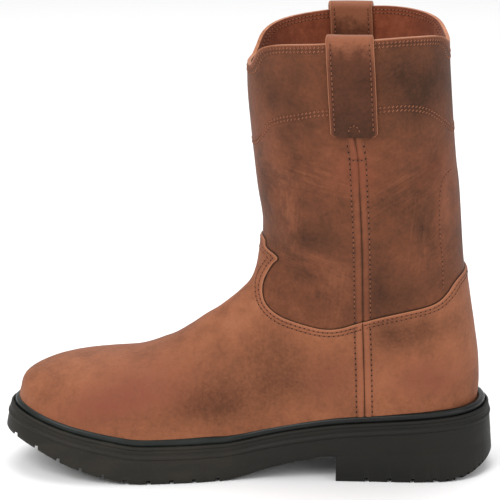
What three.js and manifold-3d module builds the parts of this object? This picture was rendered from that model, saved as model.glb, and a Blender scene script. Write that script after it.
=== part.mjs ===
// A pull-on western work boot, the right one of a pair, in millimetres, +Z up and the toe towards -X.
// The medial side, on the inside of the foot, is -Y. The origin lies on the floor under the heel's middle.
// Lofts and bands worked out from the sizes below make the upper and the sole. Every place along the boot is
// a station: the share of the boot's length from the heel's back end.
import * as THREE from "three";
import { mergeVertices } from "three/addons/utils/BufferGeometryUtils.js";
import Module from "manifold-3d";

const wasm = await Module();
wasm.setup();

// Driving sizes of the whole boot
const bootLength = 305;
const ballWidth = 112;
const heelWidth = 80;
const shaftWidth = 110;
const shaftHeight = 239;
const instepHeight = 80;

// Driving sizes of the sole
const toeSpring = 22;
const heelLift = 20;
const soleThickness = 24;
const heelLength = 98;
const heelBevelRise = 11;
const heelBevelLength = 32;
const sideFlare = 3.6;
const midsoleThickness = 8;
const rimWidth = 1.4;
const rimHeight = 1.6;
const rimRound = 0.6;
const ribStand = 0.8;
const ribWidth = 2;
const jointChamfer = 0.5;
const treadChamfer = 1;
const lugPitch = 14;
const lugGap = 2.4;
const lugDepth = 2.6;
const lugRun = 17;

// Driving sizes of the welt, the insole and the upper
const upperInset = 10;
const weltGroove = 1;
const weltHeight = 5.6;
const weltBulge = 0.5;
const insoleThickness = 3;
const wallThickness = 2.2;
const overlayThickness = 1.3;
const sideSeamGap = 0.9;
const fitGap = 0.3;

// Driving sizes of the pull straps
const strapWidth = 27.5;
const strapThickness = 2.4;
const strapOuterLeg = 57;
const strapInnerLeg = 48;
const strapGap = 0.6;
const strapTopStation = 0.302;
const strapFootStation = 0.291;

// The sole's plan, at even turns of half a circle from the heel's back to the toe's tip, seen from above.
// Medial and lateral are shares of half the width named by follow.
const planRows = [
  { follow: heelWidth, medial: 0, lateral: 0 },
  { follow: heelWidth, medial: -0.5, lateral: 0.5 },
  { follow: heelWidth, medial: -0.86, lateral: 0.86 },
  { follow: heelWidth, medial: -0.985, lateral: 0.985 },
  { follow: heelWidth, medial: -0.985, lateral: 0.985 },
  { follow: heelWidth, medial: -0.975, lateral: 1.05 },
  { follow: ballWidth, medial: -0.71, lateral: 0.86 },
  { follow: ballWidth, medial: -0.85, lateral: 0.99 },
  { follow: ballWidth, medial: -0.925, lateral: 1.03 },
  { follow: ballWidth, medial: -0.885, lateral: 0.9 },
  { follow: ballWidth, medial: -0.72, lateral: 0.605 },
  { follow: ballWidth, medial: -0.45, lateral: 0.24 },
  { follow: ballWidth, medial: -0.12, lateral: -0.12 },
];

// The sole's side. Spring is the tread's rise as a share of the toe spring, lift its rise as a share of the
// heel lift, and thick the height from the tread to the rim as a share of the sole's thickness.
const soleRows = [
  { station: 0, spring: 0, lift: 1, thick: 0.93 },
  { station: 0.07, spring: 0, lift: 0.97, thick: 0.91 },
  { station: 0.14, spring: 0, lift: 0.93, thick: 0.87 },
  { station: 0.22, spring: 0, lift: 0.88, thick: 0.835 },
  { station: 0.32, spring: 0, lift: 0.8, thick: 0.8 },
  { station: 0.4, spring: 0, lift: 0.6, thick: 0.82 },
  { station: 0.46, spring: 0, lift: 0.36, thick: 0.87 },
  { station: 0.51, spring: 0, lift: 0.12, thick: 0.93 },
  { station: 0.55, spring: 0, lift: 0, thick: 0.96 },
  { station: 0.62, spring: 0, lift: 0, thick: 0.955 },
  { station: 0.69, spring: 0, lift: 0, thick: 0.96 },
  { station: 0.73, spring: 0.02, lift: 0, thick: 0.965 },
  { station: 0.78, spring: 0.15, lift: 0, thick: 0.96 },
  { station: 0.83, spring: 0.33, lift: 0, thick: 0.92 },
  { station: 0.88, spring: 0.57, lift: 0, thick: 0.84 },
  { station: 0.93, spring: 0.86, lift: 0, thick: 0.745 },
  { station: 0.97, spring: 1.03, lift: 0, thick: 0.715 },
  { station: 1, spring: 1.1, lift: 0, thick: 0.71 },
];

// Sections of the forefoot, from the toe's tip to the waist, each in a plane through a front point and a back
// point. Front and back are stations. Top and heel are those points' heights above the seat, as shares of the
// instep height, and a negative heel is below it. Medial and lateral are half widths as shares of half the
// ball width, at the share called widest of the way from back to front. Dome squares the front end.
const footRows = [
  { front: 0.964, top: 0.13, back: 0.964, heel: -0.1, medial: -0.27, lateral: 0.04, widest: 0.3, dome: 2.2 },
  { front: 0.962, top: 0.18, back: 0.962, heel: -0.1, medial: -0.3, lateral: 0.07, widest: 0.3, dome: 2.2 },
  { front: 0.956, top: 0.235, back: 0.956, heel: -0.1, medial: -0.375, lateral: 0.16, widest: 0.3, dome: 2.3 },
  { front: 0.942, top: 0.29, back: 0.942, heel: -0.1, medial: -0.475, lateral: 0.295, widest: 0.3, dome: 2.3 },
  { front: 0.921, top: 0.345, back: 0.921, heel: -0.1, medial: -0.57, lateral: 0.44, widest: 0.3, dome: 2.3 },
  { front: 0.888, top: 0.415, back: 0.888, heel: -0.1, medial: -0.67, lateral: 0.61, widest: 0.3, dome: 2.25 },
  { front: 0.84, top: 0.485, back: 0.84, heel: -0.1, medial: -0.745, lateral: 0.765, widest: 0.3, dome: 2.2 },
  { front: 0.782, top: 0.55, back: 0.775, heel: -0.1, medial: -0.77, lateral: 0.86, widest: 0.3, dome: 2.1 },
  { front: 0.724, top: 0.61, back: 0.7, heel: -0.1, medial: -0.755, lateral: 0.88, widest: 0.3, dome: 2.05 },
  { front: 0.674, top: 0.685, back: 0.625, heel: -0.1, medial: -0.695, lateral: 0.838, widest: 0.3, dome: 2 },
  { front: 0.63, top: 0.775, back: 0.545, heel: -0.1, medial: -0.6, lateral: 0.76, widest: 0.3, dome: 1.95 },
  { front: 0.588, top: 0.89, back: 0.46, heel: -0.1, medial: -0.56, lateral: 0.68, widest: 0.31, dome: 1.9 },
];

// Sections through the instep and the heel, with widths as shares of half the heel width.
const heelRows = [
  { front: 0.548, top: 1, back: 0.37, heel: -0.1, medial: -0.784, lateral: 0.861, widest: 0.33, dome: 1.9 },
  { front: 0.515, top: 1.095, back: 0.277, heel: -0.1, medial: -0.784, lateral: 0.812, widest: 0.36, dome: 1.9 },
  { front: 0.493, top: 1.175, back: 0.185, heel: -0.1, medial: -0.798, lateral: 0.812, widest: 0.4, dome: 1.9 },
  { front: 0.483, top: 1.28, back: 0.105, heel: -0.1, medial: -0.798, lateral: 0.812, widest: 0.43, dome: 1.92 },
  { front: 0.478, top: 1.39, back: 0.054, heel: -0.08, medial: -0.812, lateral: 0.826, widest: 0.45, dome: 1.95 },
  { front: 0.476, top: 1.455, back: 0.038, heel: 0.1, medial: -0.84, lateral: 0.84, widest: 0.46, dome: 1.97 },
];

// Sections through the ankle, with widths as shares of half the shaft width.
const ankleRows = [
  { front: 0.4745, top: 1.52, back: 0.0385, heel: 0.37, medial: -0.672, lateral: 0.672, widest: 0.46, dome: 2 },
  { front: 0.474, top: 1.585, back: 0.048, heel: 0.64, medial: -0.733, lateral: 0.733, widest: 0.47, dome: 2 },
  { front: 0.474, top: 1.655, back: 0.059, heel: 0.91, medial: -0.794, lateral: 0.804, widest: 0.48, dome: 2.05 },
  { front: 0.476, top: 1.74, back: 0.07, heel: 1.21, medial: -0.865, lateral: 0.865, widest: 0.48, dome: 2.05 },
];

// Level sections of the shaft. Rise is the height above the seat at the heel's back, as a share of the shaft
// height, and wide is the half width as a share of half the shaft width.
const shaftRows = [
  { rise: 0.575, front: 0.484, back: 0.08, wide: 0.92, widest: 0.49, dome: 2.1 },
  { rise: 0.65, front: 0.491, back: 0.0875, wide: 0.955, widest: 0.49, dome: 2.1 },
  { rise: 0.74, front: 0.4985, back: 0.094, wide: 0.98, widest: 0.49, dome: 2.1 },
  { rise: 0.84, front: 0.505, back: 0.1, wide: 1, widest: 0.49, dome: 2.1 },
  { rise: 0.93, front: 0.5045, back: 0.1045, wide: 1, widest: 0.49, dome: 2.1 },
  { rise: 1.05, front: 0.5, back: 0.1065, wide: 1, widest: 0.49, dome: 2.1 },
];

// The topline seen from the side, from in front of the shaft to behind it.
const toplineRows = [
  { station: 0.56, rise: 0.899 },
  { station: 0.506, rise: 0.9 },
  { station: 0.494, rise: 0.914 },
  { station: 0.478, rise: 0.954 },
  { station: 0.44, rise: 0.976 },
  { station: 0.35, rise: 0.99 },
  { station: 0.24, rise: 1.002 },
  { station: 0.17, rise: 1.001 },
  { station: 0.125, rise: 0.99 },
  { station: 0.105, rise: 0.96 },
  { station: 0.094, rise: 0.932 },
  { station: 0.04, rise: 0.915 },
];

// The vamp's upper edge seen from the side, from its peak in front of the ankle back to the side seam.
const vampRows = [
  { station: 0.54, rise: 0.452 },
  { station: 0.474, rise: 0.449 },
  { station: 0.465, rise: 0.423 },
  { station: 0.447, rise: 0.411 },
  { station: 0.441, rise: 0.4 },
  { station: 0.453, rise: 0.379 },
  { station: 0.469, rise: 0.337 },
  { station: 0.472, rise: 0.305 },
  { station: 0.464, rise: 0.277 },
  { station: 0.439, rise: 0.254 },
  { station: 0.4, rise: 0.239 },
  { station: 0.352, rise: 0.228 },
  { station: 0.315, rise: 0.233 },
  { station: 0.27, rise: 0.256 },
];

// The counter's upper edge seen from the side, from the side seam to its peak behind the ankle.
const counterRows = [
  { station: 0.27, rise: 0.256 },
  { station: 0.223, rise: 0.277 },
  { station: 0.184, rise: 0.29 },
  { station: 0.13, rise: 0.306 },
  { station: 0.105, rise: 0.328 },
  { station: 0.08, rise: 0.362 },
  { station: 0.03, rise: 0.378 },
];

// The storm welt's profile, from its foot up. Rise is a share of its height, and bulges counts how far it
// moves out from its foot, in welt bulges.
const weltRows = [
  { rise: 0.12, bulges: 0 },
  { rise: 0.58, bulges: 1 },
  { rise: 0.86, bulges: 0 },
  { rise: 1, bulges: -2.4 },
];

// Where the side wall's foot leaves the floor behind the heel breast and reaches the tread before it
const wallFootBlend = { behindBreast: 0.02, beforeBreast: 0.12 };

// Where the lugs run, as stations. The middle field ends before the toe, and its edge is a share of the way
// out to the outline.
const lugField = { back: 0.56, front: 0.975, middleFront: 0.93, middleEdge: 0.6 };
const heelLugField = { back: 0.075, beforeBreast: 0.04 };

// The side seam between the vamp and the counter, from above their edge down through the welt.
const seamTopStation = 0.27;
const seamTopRise = 0.3;
const seamFootStation = 0.261;

// Counts of faces
const planSteps = 35;
const sectionSteps = 12;
const sectionRowsMade = 41;
const curveSteps = 3;
const fieldSteps = 8;

// The shape of the sections behind their widest point, where 2 is a round heel, and the most that their foot
// closes in
const heelRoundness = 2.2;
const widestClosing = 1.2;

// Cutting bodies reach past the boot's ends by this share of its length.
const beyondEnds = 0.1;

// A smooth curve through the values of one column, read at a place along the column called by.
function curveThrough(rows, by, column) {
  const at = rows.map((row) => row[by]);
  const values = rows.map((row) => row[column]);
  const slopes = values.map((value, i) => {
    const before = Math.max(i - 1, 0);
    const after = Math.min(i + 1, values.length - 1);
    return (values[after] - values[before]) / (at[after] - at[before]);
  });
  return (place) => {
    let i = at.findIndex((stop, n) => n > 0 && (at[1] > at[0] ? place <= stop : place >= stop));
    if (i < 0) i = at.length - 1;
    const span = at[i] - at[i - 1];
    const t = THREE.MathUtils.clamp((place - at[i - 1]) / span, 0, 1);
    const rest = 1 - t;
    return (
      values[i - 1] * rest * rest * (1 + 2 * t) +
      values[i] * t * t * (3 - 2 * t) +
      span * t * rest * (slopes[i - 1] * rest - slopes[i] * t)
    );
  };
}

const xOf = (station) => heelLength / 2 - station * bootLength;
const stationOf = (x) => (heelLength / 2 - x) / bootLength;
const pastToe = xOf(1 + beyondEnds);
const pastHeel = xOf(-beyondEnds);

// Heights of the sole at a station
const springShare = curveThrough(soleRows, "station", "spring");
const liftShare = curveThrough(soleRows, "station", "lift");
const thickShare = curveThrough(soleRows, "station", "thick");
const breastStation = heelLength / bootLength;

function treadHeight(station) {
  return Math.max(0, springShare(station) * toeSpring) + Math.max(0, liftShare(station) * heelLift);
}

function rimTop(station) {
  return treadHeight(station) + thickShare(station) * soleThickness;
}

function seatHeight(station) {
  return rimTop(station) - rimHeight;
}

// The side wall leans in from here upwards: from the floor under the heel, and from the tread before it.
function wallFoot(station) {
  const leaves = breastStation - wallFootBlend.behindBreast;
  const reaches = breastStation + wallFootBlend.beforeBreast;
  return treadHeight(station) * THREE.MathUtils.smoothstep(station, leaves, reaches);
}

// The sole's outline: a closed loop, from the heel's back along the lateral side to the toe and back.
const planTable = planRows.map((row, i) => ({
  turn: i / (planRows.length - 1),
  medial: (row.medial * row.follow) / 2,
  lateral: (row.lateral * row.follow) / 2,
}));
const medialPlan = curveThrough(planTable, "turn", "medial");
const lateralPlan = curveThrough(planTable, "turn", "lateral");

const turnOf = (station) => Math.acos(1 - 2 * station) / Math.PI;

function planLoop(steps) {
  const points = [];
  for (let i = 0; i < 2 * steps; i += 1) {
    const turn = i <= steps ? i / steps : (2 * steps - i) / steps;
    const y = i <= steps ? lateralPlan(turn) : medialPlan(turn);
    points.push(new THREE.Vector2(xOf((1 - Math.cos(Math.PI * turn)) / 2), y));
  }
  return points;
}

function loopNormals(points) {
  return points.map((point, i) => {
    const before = points[(i + points.length - 1) % points.length];
    const after = points[(i + 1) % points.length];
    const along = after.clone().sub(before).normalize();
    return new THREE.Vector2(along.y, -along.x);
  });
}

const outline = planLoop(planSteps);
const outlineNormals = loopNormals(outline);

// The half widths of the upper's foot at the seat, at a station: the outline moved in by the upper's inset.
const feather = outline.map((point, i) => point.clone().addScaledVector(outlineNormals[i], -upperInset));

function featherWidth(station, side) {
  const x = xOf(station);
  const lateral = feather.slice(0, planSteps + 1);
  const medial = feather.slice(planSteps).concat(feather[0]).reverse();
  const half = side > 0 ? lateral : medial;
  for (let i = 1; i < half.length; i += 1) {
    const high = half[i - 1];
    const low = half[i];
    if (x <= high.x && x >= low.x) return THREE.MathUtils.mapLinear(x, high.x, low.x, high.y, low.y);
  }
  return x > 0 ? half[0].y : half[half.length - 1].y;
}

// Solids
function solidFrom(positions, indices) {
  const geometry = new THREE.BufferGeometry();
  geometry.setAttribute("position", new THREE.Float32BufferAttribute(positions, 3));
  geometry.setIndex(indices);
  return asSolid(geometry);
}

function asSolid(geometry) {
  const bare = geometry.clone();
  bare.deleteAttribute("normal");
  bare.deleteAttribute("uv");
  const merged = mergeVertices(bare, 1e-4);
  const corners = merged.index.array;
  const faces = [];
  for (let i = 0; i < corners.length; i += 3) {
    const [a, b, c] = corners.slice(i, i + 3);
    if (a !== b && b !== c && c !== a) faces.push(a, b, c);
  }
  const made = new wasm.Manifold(
    new wasm.Mesh({
      numProp: 3,
      vertProperties: merged.attributes.position.array,
      triVerts: new Uint32Array(faces),
    }),
  );
  return made;
}

function asMesh(name, solid, material) {
  const made = solid.getMesh();
  const geometry = new THREE.BufferGeometry();
  geometry.setAttribute("position", new THREE.BufferAttribute(made.vertProperties, 3));
  geometry.setIndex(new THREE.BufferAttribute(made.triVerts, 1));
  geometry.computeVertexNormals();
  const mesh = new THREE.Mesh(geometry, material);
  mesh.name = name;
  return mesh;
}

// A band around the outline. Each ring has a height at every station and moves out or in from the outline,
// after the wall's own lean. The first ring is closed below and the last one above.
function band(rings) {
  const count = outline.length;
  const positions = [];
  rings.forEach(({ height, out }) => {
    outline.forEach((point, i) => {
      const station = stationOf(point.x);
      const foot = wallFoot(station);
      const lean = (sideFlare * (height(station) - foot)) / (rimTop(station) - foot);
      const moved = point.clone().addScaledVector(outlineNormals[i], out - lean);
      positions.push(moved.x, moved.y, height(stationOf(moved.x)));
    });
  });
  const indices = [];
  for (let ring = 0; ring + 1 < rings.length; ring += 1) {
    for (let i = 0; i < count; i += 1) {
      const a = ring * count + i;
      const b = ring * count + ((i + 1) % count);
      indices.push(a, b, b + count, a, b + count, a + count);
    }
  }
  const last = (rings.length - 1) * count;
  for (let i = 0; i < planSteps; i += 1) {
    const medial = (count - i) % count;
    const nextMedial = count - i - 1;
    indices.push(i, medial, i + 1, medial, nextMedial, i + 1);
    indices.push(last + i, last + i + 1, last + medial, last + medial, last + i + 1, last + nextMedial);
  }
  return solidFrom(positions, indices);
}

// A slab between two heights at every station, inside the outline moved out by a distance
function slab(low, high, out) {
  return band([
    { height: low, out },
    { height: high, out },
  ]);
}

function boxSolid(x0, x1, y0, y1, z0, z1) {
  const box = new THREE.BoxGeometry(x1 - x0, y1 - y0, z1 - z0);
  box.translate((x0 + x1) / 2, (y0 + y1) / 2, (z0 + z1) / 2);
  return asSolid(box);
}

// The loft of the upper. Sections of the foot and the shaft are brought to one list in millimetres.
const shaftBase = seatHeight(0);
const shaftZ = (rise) => shaftBase + rise * shaftHeight;

const footSection = (row, width) => ({
  frontX: xOf(row.front),
  frontZ: seatHeight(row.front) + row.top * instepHeight,
  backX: xOf(row.back),
  backZ: seatHeight(row.back) + row.heel * instepHeight,
  medial: (row.medial * width) / 2,
  lateral: (row.lateral * width) / 2,
  medialFoot: row.heel < 0 ? featherWidth(row.back, -1) : 0,
  lateralFoot: row.heel < 0 ? featherWidth(row.back, 1) : 0,
  widest: row.widest,
  dome: row.dome,
});

const sections = [
  ...footRows.map((row) => footSection(row, ballWidth)),
  ...heelRows.map((row) => footSection(row, heelWidth)),
  ...ankleRows.map((row) => footSection(row, shaftWidth)),
  ...shaftRows.map((row) => ({
    frontX: xOf(row.front),
    frontZ: shaftZ(row.rise),
    backX: xOf(row.back),
    backZ: shaftZ(row.rise),
    medial: (-row.wide * shaftWidth) / 2,
    lateral: (row.wide * shaftWidth) / 2,
    medialFoot: 0,
    lateralFoot: 0,
    widest: row.widest,
    dome: row.dome,
  })),
];
const numbered = sections.map((row, i) => ({ ...row, number: i }));
const sectionCurves = Object.entries(sections[0]).map(([column]) => [
  column,
  curveThrough(numbered, "number", column),
]);

// One closed section at a place along the list: from the front point down the lateral side to the back point
// and up the medial side.
function sectionLoop(place) {
  const at = Object.fromEntries(sectionCurves.map(([column, curve]) => [column, curve(place)]));
  const ridge = (at.medialFoot + at.lateralFoot) / 2;
  const sidePoints = (wide, foot) => {
    const points = [];
    const closing = THREE.MathUtils.clamp((foot - ridge) / (wide - ridge), 0, widestClosing);
    for (let i = 0; i <= sectionSteps; i += 1) {
      const turn = (Math.PI * i) / sectionSteps;
      const sine = Math.sin(turn);
      let along;
      let out;
      if (turn < Math.PI / 2) {
        along = at.widest + (1 - at.widest) * Math.cos(turn) ** (2 / at.dome);
        out = sine ** (2 / at.dome);
      } else {
        const down = Math.abs(Math.cos(turn)) ** (2 / heelRoundness);
        along = at.widest * (1 - down);
        out = (1 - (1 - closing ** heelRoundness) * down ** heelRoundness) ** (1 / heelRoundness);
      }
      if (!Number.isFinite(out)) out = 0;
      const x = THREE.MathUtils.lerp(at.backX, at.frontX, along);
      const z = THREE.MathUtils.lerp(at.backZ, at.frontZ, along);
      points.push(new THREE.Vector3(x, ridge + (wide - ridge) * out, z));
    }
    return points;
  };
  const lateral = sidePoints(at.lateral, at.lateralFoot);
  const medial = sidePoints(at.medial, at.medialFoot);
  return [...lateral, ...medial.reverse().slice(0, -1)];
}

const loftPlaces = Array.from(
  { length: sectionRowsMade + 1 },
  (unused, i) => (i * (sections.length - 1)) / sectionRowsMade,
);
const loftLoops = loftPlaces.map(sectionLoop);
const loopCount = loftLoops[0].length;

const loftNormals = loftLoops.map((loop, k) =>
  loop.map((point, i) => {
    const along = loftLoops[Math.min(k + 1, loftLoops.length - 1)][i]
      .clone()
      .sub(loftLoops[Math.max(k - 1, 0)][i]);
    const round = loop[(i + 1) % loopCount].clone().sub(loop[(i + loopCount - 1) % loopCount]);
    return along.cross(round).normalize();
  }),
);

// The solid inside the loft's skin, moved out from it by a distance.
function loft(out) {
  const positions = [];
  loftLoops.forEach((loop, k) => {
    loop.forEach((point, i) => {
      const moved = point.clone().addScaledVector(loftNormals[k][i], out);
      positions.push(moved.x, moved.y, moved.z);
    });
  });
  const indices = [];
  for (let k = 0; k + 1 < loftLoops.length; k += 1) {
    for (let i = 0; i < loopCount; i += 1) {
      const a = k * loopCount + i;
      const b = k * loopCount + ((i + 1) % loopCount);
      indices.push(a, b + loopCount, b, a, a + loopCount, b + loopCount);
    }
  }
  const last = (loftLoops.length - 1) * loopCount;
  for (let i = 0; i < sectionSteps; i += 1) {
    const other = (loopCount - i) % loopCount;
    const nextOther = loopCount - i - 1;
    indices.push(i, i + 1, other, other, i + 1, nextOther);
    indices.push(last + i, last + other, last + i + 1, last + other, last + nextOther, last + i + 1);
  }
  return solidFrom(positions, indices);
}

// A prism across the boot over a region of its side view
function sidePrism(points) {
  const shape = new THREE.Shape(points);
  const reach = ballWidth;
  const prism = new THREE.ExtrudeGeometry(shape, { depth: 2 * reach, bevelEnabled: false });
  prism.translate(0, 0, -reach);
  prism.rotateX(Math.PI / 2);
  return asSolid(prism);
}

function sideCurve(rows) {
  const points = rows.map((row) => new THREE.Vector2(xOf(row.station), shaftZ(row.rise)));
  return new THREE.SplineCurve(points).getPoints(curveSteps * (rows.length - 1));
}

function sideSolid(rows, closing) {
  const points = [...sideCurve(rows), ...closing];
  if (THREE.ShapeUtils.isClockWise(points)) points.reverse();
  return sidePrism(points);
}

// The upper: one shell with an even wall. The vamp and the counter are a step in it, cut from the same loft
// further out, and a narrow slot down each side parts them at the side seam.
function makeUpper() {
  const below = -ballWidth;
  const above = 2 * shaftHeight;
  const overlayRegion = sideSolid([...vampRows, ...counterRows.slice(1)], [
    new THREE.Vector2(pastHeel, shaftZ(counterRows.at(-1).rise)),
    new THREE.Vector2(pastHeel, below),
    new THREE.Vector2(pastToe, below),
    new THREE.Vector2(pastToe, shaftZ(vampRows[0].rise)),
  ]);
  const seamHalf = sideSeamGap / 2;
  const seamSlot = sidePrism([
    new THREE.Vector2(xOf(seamFootStation) - seamHalf, 0),
    new THREE.Vector2(xOf(seamFootStation) + seamHalf, 0),
    new THREE.Vector2(xOf(seamTopStation) + seamHalf, shaftZ(seamTopRise)),
    new THREE.Vector2(xOf(seamTopStation) - seamHalf, shaftZ(seamTopRise)),
  ]);
  const overlay = loft(overlayThickness).intersect(overlayRegion).subtract(seamSlot);
  const aboveTopline = sideSolid(toplineRows, [
    new THREE.Vector2(pastHeel, shaftZ(toplineRows.at(-1).rise)),
    new THREE.Vector2(pastHeel, above),
    new THREE.Vector2(pastToe, above),
    new THREE.Vector2(pastToe, shaftZ(toplineRows[0].rise)),
  ]);
  const belowSeat = slab(() => below, (station) => seatHeight(station) + fitGap, upperInset);
  return loft(0).add(overlay).subtract(loft(-wallThickness)).subtract(aboveTopline).subtract(belowSeat);
}

function makeInsole() {
  const layer = slab(
    (station) => seatHeight(station) + fitGap,
    (station) => seatHeight(station) + fitGap + insoleThickness,
    0,
  );
  return loft(-wallThickness - fitGap).intersect(layer);
}

// The storm welt: a bead around the upper that stands above the sole's rim, with a groove between them.
function makeWelt() {
  const outside = -rimWidth - weltGroove;
  const low = (station) => seatHeight(station) + fitGap;
  const ring = band([
    { height: low, out: outside - jointChamfer },
    ...weltRows.map((row) => ({
      height: (station) => low(station) + row.rise * (weltHeight - fitGap),
      out: outside + row.bulges * weltBulge,
    })),
  ]);
  return ring.subtract(loft(overlayThickness + fitGap));
}

// The midsole: the upper band of the side wall, with a rib along its foot and a rim around the welt.
function makeMidsole() {
  const foot = (station) => rimTop(station) - midsoleThickness;
  return band([
    { height: foot, out: -jointChamfer },
    { height: (station) => foot(station) + jointChamfer, out: ribStand },
    { height: (station) => foot(station) + jointChamfer + ribWidth, out: ribStand },
    { height: (station) => foot(station) + jointChamfer + ribWidth + ribStand, out: 0 },
    { height: (station) => rimTop(station) - rimRound, out: 0 },
    { height: rimTop, out: -rimRound },
    { height: rimTop, out: -rimWidth },
    { height: seatHeight, out: -rimWidth - rimRound },
  ]);
}

// Cuts between the lugs, square to the outline: they start outside it and run in by the lugs' length.
function lugCuts(fromStation, toStation, floor) {
  const cuts = [];
  const stops = Math.floor(((toStation - fromStation) * bootLength) / lugPitch);
  for (let i = 0; i <= stops; i += 1) {
    const station = fromStation + (i * lugPitch) / bootLength;
    [lateralPlan(turnOf(station)), medialPlan(turnOf(station))].forEach((edge) => {
      const low = floor(station) - lugDepth;
      const high = floor(station) + lugDepth;
      const inner = edge - Math.sign(edge) * lugRun;
      const outer = edge + Math.sign(edge) * lugDepth;
      const x = xOf(station);
      const span = [Math.min(inner, outer), Math.max(inner, outer)];
      cuts.push(boxSolid(x - lugGap / 2, x + lugGap / 2, span[0], span[1], low, high));
    });
  }
  return cuts;
}

// Cuts along the tread between the edge lugs and the middle field
function fieldCuts(fromStation, toStation, floor) {
  const cuts = [];
  [medialPlan, lateralPlan].forEach((plan) => {
    const rings = [];
    for (let i = 0; i <= fieldSteps; i += 1) {
      const station = THREE.MathUtils.lerp(fromStation, toStation, i / fieldSteps);
      const edge = plan(turnOf(station)) * lugField.middleEdge;
      const half = lugGap / 2;
      rings.push([
        [xOf(station), edge - half, floor(station) - lugDepth],
        [xOf(station), edge + half, floor(station) - lugDepth],
        [xOf(station), edge + half, floor(station) + lugDepth],
        [xOf(station), edge - half, floor(station) + lugDepth],
      ]);
    }
    const indices = [];
    for (let k = 0; k < fieldSteps; k += 1) {
      for (let i = 0; i < 4; i += 1) {
        const a = 4 * k + i;
        const b = 4 * k + ((i + 1) % 4);
        indices.push(a, a + 4, b + 4, a, b + 4, b);
      }
    }
    const end = 4 * fieldSteps;
    indices.push(0, 1, 2, 0, 2, 3, end, end + 2, end + 1, end, end + 3, end + 2);
    cuts.push(solidFrom(rings.flat(2), indices));
  });
  return cuts;
}

function makeOutsole() {
  const top = (station) => rimTop(station) - midsoleThickness - fitGap;
  const body = band([
    { height: treadHeight, out: -treadChamfer },
    { height: (station) => treadHeight(station) + treadChamfer, out: 0 },
    { height: (station) => top(station) - jointChamfer, out: 0 },
    { height: top, out: -jointChamfer },
  ]);
  const edgeCuts = lugCuts(lugField.back, lugField.front, treadHeight);
  const longCuts = fieldCuts(lugField.back, lugField.middleFront, treadHeight);
  return [...edgeCuts, ...longCuts].reduce((solid, cut) => solid.subtract(cut), body);
}

function makeHeel() {
  const bevelStation = heelBevelLength / bootLength;
  const ground = (station) => {
    const into = THREE.MathUtils.clamp(1 - station / bevelStation, 0, 1);
    return heelBevelRise * into * into;
  };
  const top = (station) => treadHeight(station) - fitGap;
  const block = band([
    { height: ground, out: -treadChamfer },
    { height: (station) => ground(station) + treadChamfer, out: 0 },
    { height: (station) => top(station) - jointChamfer, out: 0 },
    { height: top, out: -jointChamfer },
  ]);
  const breastX = xOf(breastStation);
  const behind = boxSolid(breastX, pastHeel, -ballWidth, ballWidth, -ballWidth, ballWidth);
  const cuts = lugCuts(heelLugField.back, breastStation - heelLugField.beforeBreast, () => 0);
  return cuts.reduce((solid, cut) => solid.subtract(cut), block.intersect(behind));
}

// The shaft's skin at a station and a height, on one side, moved out by a distance.
const shaftAt = (column) => {
  const rows = sections.slice(-shaftRows.length - 1);
  return curveThrough(rows, "frontZ", column);
};
const shaftFront = shaftAt("frontX");
const shaftBack = shaftAt("backX");
const shaftHalf = shaftAt("lateral");
const shaftWidest = shaftAt("widest");
const shaftDome = shaftAt("dome");

function shaftSkin(x, z, side, out) {
  const along = (x - shaftBack(z)) / (shaftFront(z) - shaftBack(z));
  const widest = shaftWidest(z);
  const front = along > widest;
  const power = front ? shaftDome(z) : heelRoundness;
  const reach = front ? (along - widest) / (1 - widest) : 1 - along / widest;
  const share = (1 - reach ** power) ** (1 / power);
  const slope = reach ** (power - 1) * (1 - reach ** power) ** (1 / power - 1);
  const length = Math.abs(shaftFront(z) - shaftBack(z)) * (front ? 1 - widest : widest);
  const tilt = Math.atan((shaftHalf(z) * slope) / length);
  const forward = front ? -1 : 1;
  return new THREE.Vector3(
    x + forward * Math.sin(tilt) * out,
    side * (shaftHalf(z) * share + Math.cos(tilt) * out),
    z,
  );
}

const toplineCurve = sideCurve(toplineRows);

function toplineHeight(x) {
  for (let i = 1; i < toplineCurve.length; i += 1) {
    const a = toplineCurve[i - 1];
    const b = toplineCurve[i];
    if (x >= a.x && x <= b.x) return THREE.MathUtils.mapLinear(x, a.x, b.x, a.y, b.y);
  }
  return shaftZ(1);
}

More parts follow.
